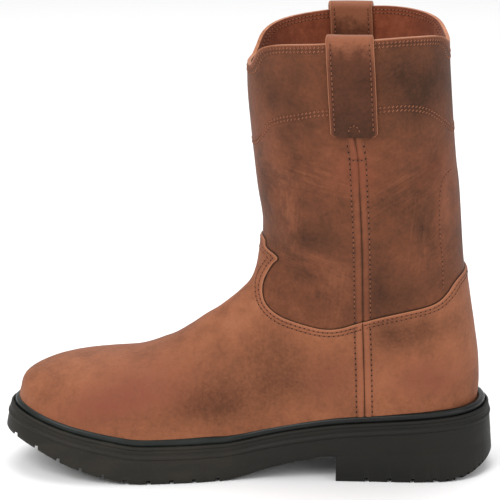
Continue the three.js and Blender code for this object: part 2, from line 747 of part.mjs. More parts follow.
// A pull strap: one flat strip, sewn down outside, folded over the topline and sewn down inside. Its path
// is a list of steps out from the shaft's skin and up, and its faces lie half a thickness either side.
function makeStrap(side) {
  const middle = -wallThickness / 2;
  const turnRadius = wallThickness / 2 + strapGap + strapThickness / 2;
  const topX = xOf(strapTopStation);
  const edgeHeights = [-0.5, 0, 0.5].map((share) => toplineHeight(topX + share * strapWidth));
  const foldTop = Math.max(...edgeHeights) + fitGap;
  const path = [];
  const legSteps = 4;
  for (let i = 0; i <= legSteps; i += 1) {
    path.push({ out: middle + turnRadius, z: foldTop - strapOuterLeg * (1 - i / legSteps), turn: 0 });
  }
  const foldSteps = 6;
  for (let i = 1; i < foldSteps; i += 1) {
    const turn = (Math.PI * i) / foldSteps;
    path.push({ out: middle + turnRadius * Math.cos(turn), z: foldTop + turnRadius * Math.sin(turn), turn });
  }
  for (let i = 0; i <= legSteps; i += 1) {
    path.push({ out: middle - turnRadius, z: foldTop - (strapInnerLeg * i) / legSteps, turn: Math.PI });
  }
  const across = 6;
  const positions = [];
  path.forEach(({ out, z, turn }) => {
    const down = THREE.MathUtils.clamp((foldTop - z) / strapOuterLeg, 0, 1);
    const centre = xOf(THREE.MathUtils.lerp(strapTopStation, strapFootStation, down));
    [1, -1].forEach((face) => {
      for (let j = 0; j <= across; j += 1) {
        const acrossShare = face > 0 ? j / across - 0.5 : 0.5 - j / across;
        const x = centre + strapWidth * acrossShare;
        const height = z + (face * strapThickness * Math.sin(turn)) / 2;
        const faceOut = out + (face * strapThickness * Math.cos(turn)) / 2;
        const skin = shaftSkin(x, Math.min(z, foldTop), side, faceOut);
        positions.push(skin.x, skin.y, height);
      }
    });
  });
  const ring = 2 * (across + 1);
  const indices = [];
  for (let k = 0; k + 1 < path.length; k += 1) {
    for (let i = 0; i < ring; i += 1) {
      const a = k * ring + i;
      const b = k * ring + ((i + 1) % ring);
      indices.push(a, b, b + ring, a, b + ring, a + ring);
    }
  }
  const last = (path.length - 1) * ring;
  for (let j = 0; j < across; j += 1) {
    const opposite = ring - 1 - j;
    indices.push(j, opposite, j + 1, j + 1, opposite, opposite - 1);
    indices.push(last + j, last + j + 1, last + opposite, last + j + 1, last + opposite - 1, last + opposite);
  }
  if (side > 0) {
    for (let i = 0; i < indices.length; i += 3) [indices[i], indices[i + 1]] = [indices[i + 1], indices[i]];
  }
  return solidFrom(positions, indices);
}

const leather = new THREE.MeshStandardMaterial({ color: 0x8f573c, roughness: 0.8, metalness: 0 });
const strapLeather = new THREE.MeshStandardMaterial({ color: 0x7a4a34, roughness: 0.8, metalness: 0 });
const insoleLeather = new THREE.MeshStandardMaterial({ color: 0x9a6a4a, roughness: 0.9, metalness: 0 });
const weltRubber = new THREE.MeshStandardMaterial({ color: 0x2c302e, roughness: 0.5, metalness: 0 });
const midsoleRubber = new THREE.MeshStandardMaterial({ color: 0x393530, roughness: 0.7, metalness: 0 });
const treadRubber = new THREE.MeshStandardMaterial({ color: 0x2d2b26, roughness: 0.75, metalness: 0 });

const boot = new THREE.Group();
boot.add(asMesh("upper", makeUpper(), leather));
boot.add(asMesh("insole", makeInsole(), insoleLeather));
boot.add(asMesh("welt", makeWelt(), weltRubber));
boot.add(asMesh("midsole", makeMidsole(), midsoleRubber));
boot.add(asMesh("outsole", makeOutsole(), treadRubber));
boot.add(asMesh("heel", makeHeel(), treadRubber));
boot.add(asMesh("pull_strap_medial", makeStrap(-1), strapLeather));
boot.add(asMesh("pull_strap_lateral", makeStrap(1), strapLeather));

export default boot;
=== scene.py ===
# %% [markdown]
# # A pull-on western work boot
# The boot is one leather shell on a moulded rubber sole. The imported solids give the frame. This lesson
# dresses them: a finer upper with its seams, wrinkles and stitches, leather straps, and a sole with its
# ribs and rims. Tables below are in the shoemaker's terms, and everything is turned into metres at the end.

# %% The frame
import math

import bpy
import numpy as np
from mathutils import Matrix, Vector


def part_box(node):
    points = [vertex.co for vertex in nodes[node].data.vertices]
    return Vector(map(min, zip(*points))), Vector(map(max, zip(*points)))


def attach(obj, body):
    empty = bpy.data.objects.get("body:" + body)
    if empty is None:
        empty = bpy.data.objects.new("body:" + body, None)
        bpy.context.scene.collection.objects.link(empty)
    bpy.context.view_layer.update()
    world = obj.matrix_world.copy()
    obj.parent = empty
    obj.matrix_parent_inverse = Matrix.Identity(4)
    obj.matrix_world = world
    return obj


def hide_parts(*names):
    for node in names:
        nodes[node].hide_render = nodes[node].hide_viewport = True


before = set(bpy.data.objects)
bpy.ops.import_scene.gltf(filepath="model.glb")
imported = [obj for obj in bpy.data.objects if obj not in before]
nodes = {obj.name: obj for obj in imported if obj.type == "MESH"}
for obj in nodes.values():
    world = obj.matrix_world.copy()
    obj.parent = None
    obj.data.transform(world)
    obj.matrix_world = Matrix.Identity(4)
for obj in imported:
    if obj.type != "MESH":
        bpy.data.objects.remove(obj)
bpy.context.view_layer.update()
MM = 0.001
print("solids:", ", ".join(sorted(nodes)))

# %% [markdown]
# ## Sizes
# The sizes are those of the boot's own solids, in millimetres. A station is a share of the boot's length
# from the heel's back end, and a rise is a share of the shaft's height above the seat. The toe points
# towards -X and the medial side, which faces the camera, towards -Y.

# %% Driving sizes
boot_length = 305
ball_width = 112
heel_width = 80
shaft_width = 110
shaft_height = 239
instep_height = 80
toe_spring = 22
heel_lift = 20
sole_thickness = 24
heel_length = 98
heel_bevel_rise = 11
heel_bevel_length = 32
side_flare = 3.6
midsole_thickness = 8
rim_width = 1.4
rim_height = 1.6
upper_inset = 10
welt_groove = 1
welt_height = 5.6
insole_gap = 0.3
wall = 2.2
overlay = 1.3


def x_of(station):
    return heel_length / 2 - np.asarray(station, float) * boot_length


def station_of(x):
    return (heel_length / 2 - np.asarray(x, float)) / boot_length


heel_box = [1000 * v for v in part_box("heel")[0]]
print("heel breast at", round(heel_box[0], 1), "mm, by the sizes at", float(x_of(heel_length / boot_length)))

# %% [markdown]
# ## Smooth curves through a short table
# A last is drawn as sections, and a smooth curve runs through each column of their table. The curve here
# is a cubic that passes through every row, with the slope at a row taken from its two neighbours.


# %% Curves through a table
def column(columns, rows, name):
    return np.array([row[columns.index(name)] for row in rows], float)


def curve_through(at, values):
    at, values = np.asarray(at, float), np.asarray(values, float)
    if at[-1] < at[0]:
        at, values = at[::-1], values[::-1]
    last = len(at) - 1
    before = np.maximum(np.arange(last + 1) - 1, 0)
    after = np.minimum(np.arange(last + 1) + 1, last)
    slopes = (values[after] - values[before]) / (at[after] - at[before])

    def read(place):
        place = np.asarray(place, float)
        i = np.clip(np.searchsorted(at, place), 1, last)
        span = at[i] - at[i - 1]
        t = np.clip((place - at[i - 1]) / span, 0, 1)
        rest = 1 - t
        ends = values[i - 1] * rest * rest * (1 + 2 * t) + values[i] * t * t * (3 - 2 * t)
        return ends + span * t * rest * (slopes[i - 1] * rest - slopes[i] * t)

    return read


def smoothstep(value, low, high):
    t = np.clip((value - low) / (high - low), 0, 1)
    return t * t * (3 - 2 * t)


# %% The sole's plan and side
plan_columns = ("width", "medial", "lateral")
plan_rows = [
    (heel_width, 0, 0),
    (heel_width, -0.5, 0.5),
    (heel_width, -0.86, 0.86),
    (heel_width, -0.985, 0.985),
    (heel_width, -0.985, 0.985),
    (heel_width, -0.975, 1.05),
    (ball_width, -0.71, 0.86),
    (ball_width, -0.85, 0.99),
    (ball_width, -0.925, 1.03),
    (ball_width, -0.885, 0.9),
    (ball_width, -0.72, 0.605),
    (ball_width, -0.45, 0.24),
    (ball_width, -0.12, -0.12),
]
sole_columns = ("station", "spring", "lift", "thick")
sole_rows = [
    (0, 0, 1, 0.93),
    (0.07, 0, 0.97, 0.91),
    (0.14, 0, 0.93, 0.87),
    (0.22, 0, 0.88, 0.835),
    (0.32, 0, 0.8, 0.8),
    (0.4, 0, 0.6, 0.82),
    (0.46, 0, 0.36, 0.87),
    (0.51, 0, 0.12, 0.93),
    (0.55, 0, 0, 0.96),
    (0.62, 0, 0, 0.955),
    (0.69, 0, 0, 0.96),
    (0.73, 0.02, 0, 0.965),
    (0.78, 0.15, 0, 0.96),
    (0.83, 0.33, 0, 0.92),
    (0.88, 0.57, 0, 0.84),
    (0.93, 0.86, 0, 0.745),
    (0.97, 1.03, 0, 0.715),
    (1, 1.1, 0, 0.71),
]
plan_turn = np.arange(len(plan_rows)) / (len(plan_rows) - 1)
plan_half = column(plan_columns, plan_rows, "width") / 2
medial_plan = curve_through(plan_turn, column(plan_columns, plan_rows, "medial") * plan_half)
lateral_plan = curve_through(plan_turn, column(plan_columns, plan_rows, "lateral") * plan_half)
sole_stations = column(sole_columns, sole_rows, "station")
spring_share = curve_through(sole_stations, column(sole_columns, sole_rows, "spring"))
lift_share = curve_through(sole_stations, column(sole_columns, sole_rows, "lift"))
thick_share = curve_through(sole_stations, column(sole_columns, sole_rows, "thick"))
breast_station = heel_length / boot_length


def tread_height(station):
    spring = np.maximum(0, spring_share(station) * toe_spring)
    return spring + np.maximum(0, lift_share(station) * heel_lift)


def rim_top(station):
    return tread_height(station) + thick_share(station) * sole_thickness


def seat_height(station):
    return rim_top(station) - rim_height


def wall_foot(station):
    return tread_height(station) * smoothstep(station, breast_station - 0.02, breast_station + 0.12)


def outline_of(steps):
    turn = np.concatenate([np.arange(steps + 1), np.arange(steps - 1, 0, -1)]) / steps
    lateral_half = np.arange(2 * steps) <= steps
    y = np.where(lateral_half, lateral_plan(turn), medial_plan(turn))
    points = np.stack([x_of((1 - np.cos(np.pi * turn)) / 2), y], 1)
    along = np.roll(points, -1, 0) - np.roll(points, 1, 0)
    along /= np.linalg.norm(along, axis=1)[:, None]
    return points, np.stack([along[:, 1], -along[:, 0]], 1)


plan_steps = 150
outline, outline_out = outline_of(plan_steps)
print("sole outline:", len(outline), "points,", round(float(np.ptp(outline[:, 1])), 1), "mm across")

# %% [markdown]
# ## The last
# The upper takes its form from a last, the wooden foot that it is pulled over. Each section of it lies in
# a plane through a point on the instep and a point on the heel, so the planes fan out around the ankle.
# A superellipse joins the two points on each side, and a loft through the sections gives the skin.

# %% The last's sections
section_columns = ("front", "top", "back", "heel", "medial", "lateral", "widest", "dome")
foot_rows = [
    (0.9635, 0.13, 0.9635, -0.1, -0.27, 0.04, 0.3, 2.2),
    (0.962, 0.18, 0.962, -0.1, -0.3, 0.07, 0.3, 2.2),
    (0.956, 0.235, 0.956, -0.1, -0.375, 0.16, 0.3, 2.3),
    (0.942, 0.29, 0.942, -0.1, -0.475, 0.295, 0.3, 2.3),
    (0.921, 0.345, 0.921, -0.1, -0.575, 0.44, 0.3, 2.3),
    (0.888, 0.415, 0.888, -0.1, -0.67, 0.61, 0.3, 2.25),
    (0.84, 0.485, 0.84, -0.1, -0.745, 0.765, 0.3, 2.2),
    (0.782, 0.55, 0.775, -0.1, -0.775, 0.862, 0.3, 2.1),
    (0.724, 0.61, 0.7, -0.1, -0.755, 0.88, 0.3, 2.05),
    (0.674, 0.685, 0.625, -0.1, -0.695, 0.838, 0.3, 2),
    (0.63, 0.775, 0.545, -0.1, -0.605, 0.76, 0.3, 1.95),
    (0.588, 0.89, 0.46, -0.1, -0.56, 0.68, 0.31, 1.9),
]
heel_rows = [
    (0.548, 1, 0.37, -0.1, -0.784, 0.861, 0.33, 1.9),
    (0.515, 1.095, 0.277, -0.1, -0.784, 0.812, 0.36, 1.9),
    (0.494, 1.175, 0.185, -0.1, -0.798, 0.805, 0.4, 1.9),
    (0.483, 1.28, 0.105, -0.1, -0.798, 0.812, 0.43, 1.92),
    (0.478, 1.39, 0.054, -0.08, -0.812, 0.826, 0.45, 1.95),
    (0.476, 1.455, 0.038, 0.1, -0.84, 0.84, 0.46, 1.97),
]
ankle_rows = [
    (0.4745, 1.52, 0.0385, 0.37, -0.672, 0.672, 0.46, 2),
    (0.474, 1.585, 0.048, 0.64, -0.733, 0.733, 0.47, 2),
    (0.474, 1.655, 0.059, 0.91, -0.794, 0.804, 0.48, 2.05),
    (0.4765, 1.74, 0.0695, 1.21, -0.865, 0.865, 0.48, 2.05),
]
shaft_columns = ("rise", "front", "back", "wide", "widest", "dome")
shaft_rows = [
    (0.575, 0.484, 0.08, 0.92, 0.49, 2.1),
    (0.65, 0.491, 0.0875, 0.955, 0.49, 2.1),
    (0.74, 0.4985, 0.094, 0.98, 0.49, 2.1),
    (0.84, 0.505, 0.1, 1, 0.49, 2.1),
    (0.93, 0.5045, 0.1045, 1, 0.49, 2.1),
    (1.05, 0.5, 0.1065, 1, 0.49, 2.1),
]
shaft_base = float(seat_height(0))


def shaft_z(rise):
    return shaft_base + np.asarray(rise, float) * shaft_height


def feather_width(station, side):
    points = outline - upper_inset * outline_out
    half = points[: plan_steps + 1] if side > 0 else np.vstack([points[plan_steps:], points[:1]])[::-1]
    return np.interp(-x_of(station), -half[:, 0], half[:, 1])


def section_between(at, heights, sides, feet=(0, 0)):
    """A section from a row: its two ends, its widest points and its feet on the seat."""
    return {
        "front_x": x_of(at["front"]),
        "front_z": heights[0],
        "back_x": x_of(at["back"]),
        "back_z": heights[1],
        "medial": sides[0],
        "lateral": sides[1],
        "medial_foot": feet[0],
        "lateral_foot": feet[1],
        "widest": at["widest"],
        "dome": at["dome"],
    }


def foot_section(row, width):
    at = dict(zip(section_columns, row))
    front_z = seat_height(at["front"]) + at["top"] * instep_height
    back_z = seat_height(at["back"]) + at["heel"] * instep_height
    sides = (at["medial"] * width / 2, at["lateral"] * width / 2)
    feet = [feather_width(at["back"], side) for side in (-1, 1)] if at["heel"] < 0 else (0, 0)
    return section_between(at, (front_z, back_z), sides, feet)


def shaft_section(row):
    at = dict(zip(shaft_columns, row))
    half = at["wide"] * shaft_width / 2
    return section_between(at, (shaft_z(at["rise"]),) * 2, (-half, half))


sections = [foot_section(row, ball_width) for row in foot_rows]
sections += [foot_section(row, heel_width) for row in heel_rows]
sections += [foot_section(row, shaft_width) for row in ankle_rows]
sections += [shaft_section(row) for row in shaft_rows]
section_at = np.arange(len(sections))
section_curves = {
    key: curve_through(section_at, [float(section[key]) for section in sections]) for key in sections[0]
}
print("the last has", len(sections), "sections")


# %% The skin of the last as a fine grid
heel_roundness = 2.2
section_steps = 84
rows_apart = 2.3
toe_cap_length = 1.6
toe_cap_rings = 8


def section_side(at, side):
    turn = np.pi * np.arange(section_steps + 1) / section_steps
    ridge = (at["medial_foot"] + at["lateral_foot"]) / 2
    wide, foot = at[side], at[side + "_foot"]
    closing = min(max((foot - ridge) / (wide - ridge), 0), 1.2)
    cosine, sine = np.cos(turn), np.maximum(np.sin(turn), 0)
    down = np.abs(cosine) ** (2 / heel_roundness)
    front = turn < np.pi / 2
    along_front = at["widest"] + (1 - at["widest"]) * np.abs(cosine) ** (2 / at["dome"])
    along = np.where(front, along_front, at["widest"] * (1 - down))
    closed = np.maximum(1 - (1 - closing**heel_roundness) * down**heel_roundness, 0) ** (1 / heel_roundness)
    out = np.where(front, sine ** (2 / at["dome"]), closed)
    x = at["back_x"] + (at["front_x"] - at["back_x"]) * along
    z = at["back_z"] + (at["front_z"] - at["back_z"]) * along
    return np.stack([x, ridge + (wide - ridge) * out, z], 1)


def section_loop(place):
    at = {key: float(curve(place)) for key, curve in section_curves.items()}
    return np.vstack([section_side(at, "lateral"), section_side(at, "medial")[-2:0:-1]])


trial_places = np.linspace(0, len(sections) - 1, 400)
trial = np.stack([section_loop(place) for place in trial_places])
run = np.concatenate([[0], np.cumsum(np.linalg.norm(np.diff(trial, axis=0), axis=2).mean(1))])
rows_made = int(run[-1] / rows_apart)
even_places = np.interp(np.linspace(0, run[-1], rows_made), run, trial_places)
last_grid = np.stack([section_loop(place) for place in even_places])


def closed_toe(grid, length, rings):
    """Rings that close the toe's end with a rounded cap, from its tip to the first section."""
    centre = grid[0].mean(0)
    share = np.linspace(1, 0, rings, endpoint=False)
    caps = [centre + (grid[0] - centre) * math.sqrt(1 - s * s) + np.array([-length * s, 0, 0]) for s in share]
    return np.concatenate([np.stack(caps), grid])


last_grid = closed_toe(last_grid, toe_cap_length, toe_cap_rings)
print("skin grid:", last_grid.shape[0], "rows of", last_grid.shape[1])


def normals_of(grid):
    along = np.gradient(grid, axis=0)
    around = np.roll(grid, -1, 1) - np.roll(grid, 1, 1)
    normals = np.cross(along, around)
    length = np.linalg.norm(normals, axis=2, keepdims=True)
    return normals / np.maximum(length, 1e-9)


last_normals = normals_of(last_grid)
last_normals[0] = (-1, 0, 0)

# %% [markdown]
# ## Wrinkles
# Oiled leather creases where it bends: long shallow folds run round the ankle and across the shaft. Each
# one is placed as a soft trough along a line in the side view, with a low ridge on each side of it,
# and it fades towards both of its ends. A negative depth makes a ridge instead.

# %% Wrinkles
wrinkle_columns = ("side", "from_station", "from_rise", "to_station", "to_rise", "bow", "breadth", "depth")
wrinkle_rows = [
    ("medial", 0.437, 0.405, 0.33, 0.368, 4, 4.5, 0.75),
    ("medial", 0.43, 0.43, 0.34, 0.402, 3, 5, 0.45),
    ("medial", 0.44, 0.378, 0.36, 0.35, 2, 4, 0.35),
    ("medial", 0.49, 0.665, 0.34, 0.6, 5, 7, 0.6),
    ("medial", 0.48, 0.625, 0.36, 0.565, 4, 6, 0.5),
    ("medial", 0.44, 0.7, 0.31, 0.655, -3, 7, 0.4),
    ("medial", 0.24, 0.6, 0.12, 0.7, 4, 7, 0.5),
    ("medial", 0.25, 0.56, 0.13, 0.655, 4, 6, 0.4),
    ("medial", 0.2, 0.63, 0.105, 0.74, 3, 6, 0.35),
    ("medial", 0.17, 0.54, 0.12, 0.49, 2, 5, 0.5),
    ("medial", 0.16, 0.49, 0.11, 0.45, 2, 5, 0.4),
    ("medial", 0.41, 0.52, 0.4, 0.4, 3, 8, -0.35),
    ("lateral", 0.44, 0.41, 0.33, 0.375, 4, 5, 0.75),
    ("lateral", 0.43, 0.44, 0.34, 0.41, 3, 5, 0.4),
    ("lateral", 0.49, 0.64, 0.35, 0.6, 5, 7, 0.55),
    ("lateral", 0.46, 0.59, 0.36, 0.55, 4, 6, 0.4),
    ("lateral", 0.25, 0.58, 0.12, 0.66, 4, 7, 0.5),
    ("lateral", 0.2, 0.54, 0.11, 0.61, 3, 6, 0.4),
    ("lateral", 0.17, 0.5, 0.11, 0.46, 2, 5, 0.4),
    ("both", 0.6, 0.31, 0.53, 0.21, 3, 8, 0.35),
    ("both", 0.67, 0.2, 0.6, 0.1, 3, 8, 0.3),
]
fade_share = 0.35


def wrinkled(points):
    """How far the leather stands out at these points, in millimetres."""
    out = np.zeros(points.shape[:-1])
    x, y, z = points[..., 0], points[..., 1], points[..., 2]
    for row in wrinkle_rows:
        at = dict(zip(wrinkle_columns, row))
        ax, az = x_of(at["from_station"]), shaft_z(at["from_rise"])
        bx, bz = x_of(at["to_station"]), shaft_z(at["to_rise"])
        length = math.hypot(bx - ax, bz - az)
        along = ((x - ax) * (bx - ax) + (z - az) * (bz - az)) / length**2
        across = ((x - ax) * (bz - az) - (z - az) * (bx - ax)) / length
        across = across - at["bow"] * 4 * along * (1 - along)
        faded = smoothstep(along, 0, fade_share) * smoothstep(1 - along, 0, fade_share)
        near = (across / at["breadth"]) ** 2
        profile = -(1 - near) * np.exp(-near)
        side = {"medial": y < 0, "lateral": y > 0, "both": np.full(y.shape, True)}[at["side"]]
        out += at["depth"] * faded * profile * side * smoothstep(np.abs(y), 0, 8)
    return out


last_out = wrinkled(last_grid)
print("wrinkles stand from", round(float(last_out.min()), 2), "to", round(float(last_out.max()), 2), "mm")

# %% [markdown]
# ## Patches of wear and painted shade
# Oil and handling leave soft darker and warmer patches, and the leather turns lighter in fine lines where it
# was bent. The darker patches low on the waist are painted shade, where the upper turns down to the sole.
# Each patch is placed in the shoe's own sizes as a soft ellipse. Tone is lighter above zero and darker below
# it. The other side gets the same patches, a little shifted and weaker.

# %% Wear and painted shade
wear_and_shade_columns = ("kind", "station", "rise", "long", "short", "lean", "amount")
wear_and_shade_rows = [
    # The first three tone rows are painted shade under the waist, where the upper turns down to the sole.
    ("tone", 0.545, 0.07, 36, 22, 14, -0.36),
    ("tone", 0.49, 0.03, 28, 14, 0, -0.34),
    ("tone", 0.6, 0.01, 26, 9, 8, -0.3),
    ("tone", 0.44, 0.16, 24, 14, 40, -0.3),
    ("tone", 0.36, 0.11, 22, 17, 0, -0.45),
    ("warmth", 0.72, 0.05, 32, 13, 12, 0.75),
    ("warmth", 0.82, 0.02, 20, 9, 20, 0.55),
    ("warmth", 0.33, 0.1, 16, 14, 0, 0.4),
    ("tone", 0.9, 0.16, 20, 12, 25, 0.35),
    ("tone", 0.68, 0.2, 34, 9, 20, 0.2),
    ("tone", 0.5, 0.26, 22, 9, 50, 0.3),
    ("tone", 0.18, 0.235, 25, 9, 12, -0.7),
    ("tone", 0.22, 0.18, 13, 10, 0, -0.25),
    ("warmth", 0.14, 0.1, 20, 12, 0, 0.7),
    ("tone", 0.11, 0.12, 12, 8, 0, 0.25),
    ("tone", 0.185, 0.9, 29, 22, 0, -0.75),
    ("tone", 0.15, 0.84, 20, 11, 0, -0.25),
    ("tone", 0.41, 0.86, 20, 22, 0, -0.3),
    ("tone", 0.46, 0.79, 9, 20, 0, 0.15),
    ("tone", 0.19, 0.57, 22, 40, 0, -0.18),
    ("tone", 0.15, 0.52, 5, 14, 0, -0.4),
    ("tone", 0.2, 0.33, 22, 10, 18, -0.5),
    ("tone", 0.24, 0.36, 7, 14, 0, -0.35),
    ("tone", 0.375, 0.475, 12, 9, 0, -0.35),
    ("tone", 0.385, 0.3, 22, 11, 0, -0.08),
    ("tone", 0.415, 0.54, 4, 17, 4, 0.6),
    ("tone", 0.44, 0.6, 4, 12, 4, 0.3),
    ("tone", 0.36, 0.42, 20, 5, -14, 0.35),
    ("tone", 0.33, 0.34, 5, 13, -8, 0.3),
    ("tone", 0.3, 0.68, 15, 13, 0, 0.3),
    ("warmth", 0.29, 0.67, 15, 15, 0, 0.6),
    ("warmth", 0.13, 0.66, 14, 12, 0, 0.35),
    ("tone", 0.17, 0.44, 8, 8, 0, 0.25),
    ("tone", 0.11, 0.58, 4, 22, 0, 0.45),
    ("falling", 0.385, 0.64, 34, 12, -12, 1),
    ("falling", 0.37, 0.405, 26, 9, -14, 1),
    ("climbing", 0.19, 0.64, 28, 18, 30, 1),
    ("climbing", 0.12, 0.46, 9, 12, 40, 0.9),
    ("upright", 0.415, 0.52, 9, 24, 4, 0.9),
    ("upright", 0.33, 0.34, 11, 20, -10, 0.9),
    ("upright", 0.16, 0.5, 10, 24, 8, 0.8),
    ("upright", 0.45, 0.34, 5, 14, 0, 0.6),
    ("climbing", 0.6, 0.23, 34, 9, 28, 0.35),
    ("climbing", 0.2, 0.92, 26, 12, 25, 0.3),
]
wear_and_shade_kinds = ("tone", "warmth", "falling", "climbing", "upright")
other_side_shift = 7
other_side_share = 0.8


def worn_and_shaded(points, kind):
    """The sum of all patches of one kind at these points."""
    total = np.zeros(len(points))
    lateral = points[:, 1] > 0
    x = points[:, 0] + other_side_shift * lateral
    z = points[:, 2] - other_side_shift * lateral
    for row in wear_and_shade_rows:
        at = dict(zip(wear_and_shade_columns, row))
        if at["kind"] == kind:
            lean = math.radians(at["lean"])
            dx, dz = x - x_of(at["station"]), z - shaft_z(at["rise"])
            along = (dx * math.cos(lean) + dz * math.sin(lean)) / at["long"]
            across = (dz * math.cos(lean) - dx * math.sin(lean)) / at["short"]
            total += at["amount"] * np.exp(-(along**2) - across**2)
    sideways = smoothstep(np.abs(points[:, 1]), 0, 12)
    return total * np.where(lateral, other_side_share, 1) * (0.35 + 0.65 * sideways)


print("placed", len(wrinkle_rows), "wrinkles and", len(wear_and_shade_rows), "patches")

# %% [markdown]
# ## Panels cut from the skin
# A maker cuts each panel from flat leather and pulls it over the last. Here the grid of the skin plays the
# last: a copy of it is cut along the panel's edge, which is drawn in the side view. The cut adds points
# where the edge crosses the grid, so the edge stays smooth, and two more lines beside it round it over.


# %% Cutting a grid along a line
def grid_faces(rows, columns):
    k, i = np.meshgrid(np.arange(rows - 1), np.arange(columns), indexing="ij")
    j = (i + 1) % columns
    quads = np.stack([k * columns + i, (k + 1) * columns + i, (k + 1) * columns + j, k * columns + j], -1)
    return [tuple(face) for face in quads.reshape(-1, 4)]


def ring_faces(rings, count):
    """The faces between rings of points, turned the other way round from those of a grid."""
    return [face[:1] + face[:0:-1] for face in grid_faces(rings, count)]


def tube_faces(rings, count):
    """The faces of a closed tube: its wall and a cap at each end."""
    first = tuple(range(count))[::-1]
    last = tuple(range((rings - 1) * count, rings * count))
    return ring_faces(rings, count) + [first, last]


def split_along(points, faces, value):
    """Splits faces where value crosses zero. Returns points with their columns, faces and values."""
    points, value, crossing, parted = list(points), list(value), {}, []

    def cut(a, b):
        key = (a, b) if a < b else (b, a)
        if key not in crossing:
            share = value[key[0]] / (value[key[0]] - value[key[1]])
            crossing[key] = len(points)
            points.append(points[key[0]] * (1 - share) + points[key[1]] * share)
            value.append(0.0)
        return crossing[key]

    for face in faces:
        signs = [value[v] > 0 for v in face]
        if all(signs) or not any(signs):
            parted.append(face)
            continue
        above, below = [], []
        for n, a in enumerate(face):
            b = face[(n + 1) % len(face)]
            (above if value[a] > 0 else below).append(a)
            if (value[a] > 0) != (value[b] > 0) and value[a] != 0:
                between = cut(a, b) if value[b] != 0 else b
                (above if between not in above else []).append(between)
                (below if between not in below else []).append(between)
        parted += [tuple(part) for part in (above, below) if len(part) > 2]
    return np.array(points), parted, np.array(value)


def keep_above(faces, value, slack=1e-6):
    """The faces that reach above zero and nowhere below it."""
    heights = [[value[v] for v in face] for face in faces]
    return [face for face, at in zip(faces, heights) if max(at) > 0 and min(at) > -slack]


def spline(points, steps):
    """A smooth line through points, as in the solids."""
    points = np.asarray(points, float)
    fenced = np.vstack([points[:1], points, points[-1:]])
    line = []
    for i in range(1, len(points)):
        p0, p1, p2, p3 = fenced[i - 1 : i + 3]
        for t in np.arange(steps) / steps:
            a, b = (p2 - p0) / 2, (p3 - p1) / 2
            line.append((2 * p1 - 2 * p2 + a + b) * t**3 + (-3 * p1 + 3 * p2 - 2 * a - b) * t**2 + a * t + p1)
    return np.vstack([line, points[-1:]])


def distance_to(line, points):
    """The distance in the side view from each point to a line."""
    xz = points[:, [0, 2]]
    best = np.full(len(xz), np.inf)
    for a, b in zip(line[:-1], line[1:]):
        along = np.clip(((xz - a) @ (b - a)) / max(float((b - a) @ (b - a)), 1e-12), 0, 1)
        best = np.minimum(best, np.linalg.norm(xz - a - along[:, None] * (b - a), axis=1))
    return best


def inside(polygon, points):
    x, z = points[:, 0], points[:, 2]
    within = np.zeros(len(points), bool)
    for (ax, az), (bx, bz) in zip(polygon, np.roll(polygon, -1, 0)):
        if az != bz:
            crosses = ((az > z) != (bz > z)) & (x < ax + (z - az) * (bx - ax) / (bz - az))
            within ^= crosses
    return within


def side_line(rows, steps=8):
    return spline([(float(x_of(station)), float(shaft_z(rise))) for station, rise in rows], steps)


print("a cut of the grid has", len(grid_faces(*last_grid.shape[:2])), "faces to start from")

# %% The edges of the panels
topline_rows = [
    (0.56, 0.899),
    (0.506, 0.9),
    (0.494, 0.914),
    (0.478, 0.954),
    (0.44, 0.976),
    (0.35, 0.99),
    (0.24, 1.002),
    (0.17, 1.001),
    (0.125, 0.99),
    (0.105, 0.96),
    (0.094, 0.932),
    (0.04, 0.915),
]
vamp_rows = [
    (0.54, 0.452),
    (0.474, 0.449),
    (0.465, 0.423),
    (0.447, 0.411),
    (0.441, 0.4),
    (0.453, 0.379),
    (0.469, 0.337),
    (0.472, 0.305),
    (0.464, 0.277),
    (0.439, 0.254),
    (0.4, 0.239),
    (0.352, 0.228),
    (0.315, 0.233),
    (0.27, 0.256),
]
counter_rows = [
    (0.27, 0.256),
    (0.223, 0.277),
    (0.184, 0.29),
    (0.13, 0.306),
    (0.105, 0.328),
    (0.08, 0.362),
    (0.03, 0.378),
]
seam_rows = [
    (0.291, 0.758),
    (0.2834, 0.699),
    (0.2787, 0.595),
    (0.2736, 0.4615),
    (0.27, 0.261),
    (0.2667, 0.124),
    (0.2634, -0.03),
]
topline = side_line(topline_rows)
overlay_edge = side_line(vamp_rows + counter_rows[1:])
seam_line = side_line(seam_rows)
seam_x = curve_through(seam_line[:, 1], seam_line[:, 0])
edge_length = np.linalg.norm(np.diff(overlay_edge, axis=0), axis=1).sum()
print("vamp and counter edge:", round(float(edge_length)), "mm a side")

# %% The skin with all its columns
grid_rows, grid_columns = last_grid.shape[:2]
skin = np.concatenate([last_grid, last_normals, last_out[..., None]], 2).reshape(-1, 7)
skin_faces = grid_faces(grid_rows, grid_columns)
seam_offsets = (-4.2, -2.4, -1.1, -0.45, 0, 0.45, 1.1, 2.4, 4.2)
groove_breadth = 0.45
shoulder_off = 2.4
shoulder_breadth = 1.6
shoulder_rise = 0.3
far = 400


def under_line(line, points):
    """How far points lie under a line in the side view, negative above it."""
    region = np.vstack([line, [[far, line[-1][1]], [far, -far], [-far, -far], [-far, line[0][1]]]])
    return np.where(inside(region, points), 1, -1) * distance_to(line, points)


def below_topline(points):
    return under_line(topline, points)


def within_overlay(points):
    return under_line(overlay_edge, points)


def above_seat(points):
    return points[:, 2] - seat_height(station_of(points[:, 0])) - insole_gap


def from_seam(points):
    return points[:, 0] - seam_x(points[:, 2])


def seam_relief(points, depth):
    """The groove of the side seam and the soft shoulders of its turned edges."""
    off = np.abs(from_seam(points))
    sewn = 1 - smoothstep(points[:, 2], shaft_z(0.92), shaft_z(0.96))
    shoulder = shoulder_rise * np.exp(-(((off - shoulder_off) / shoulder_breadth) ** 2))
    return sewn * (shoulder - depth * np.exp(-((off / groove_breadth) ** 2)))


def moved(points, out):
    return points[:, :3] + points[:, 3:6] * np.asarray(out)[:, None]


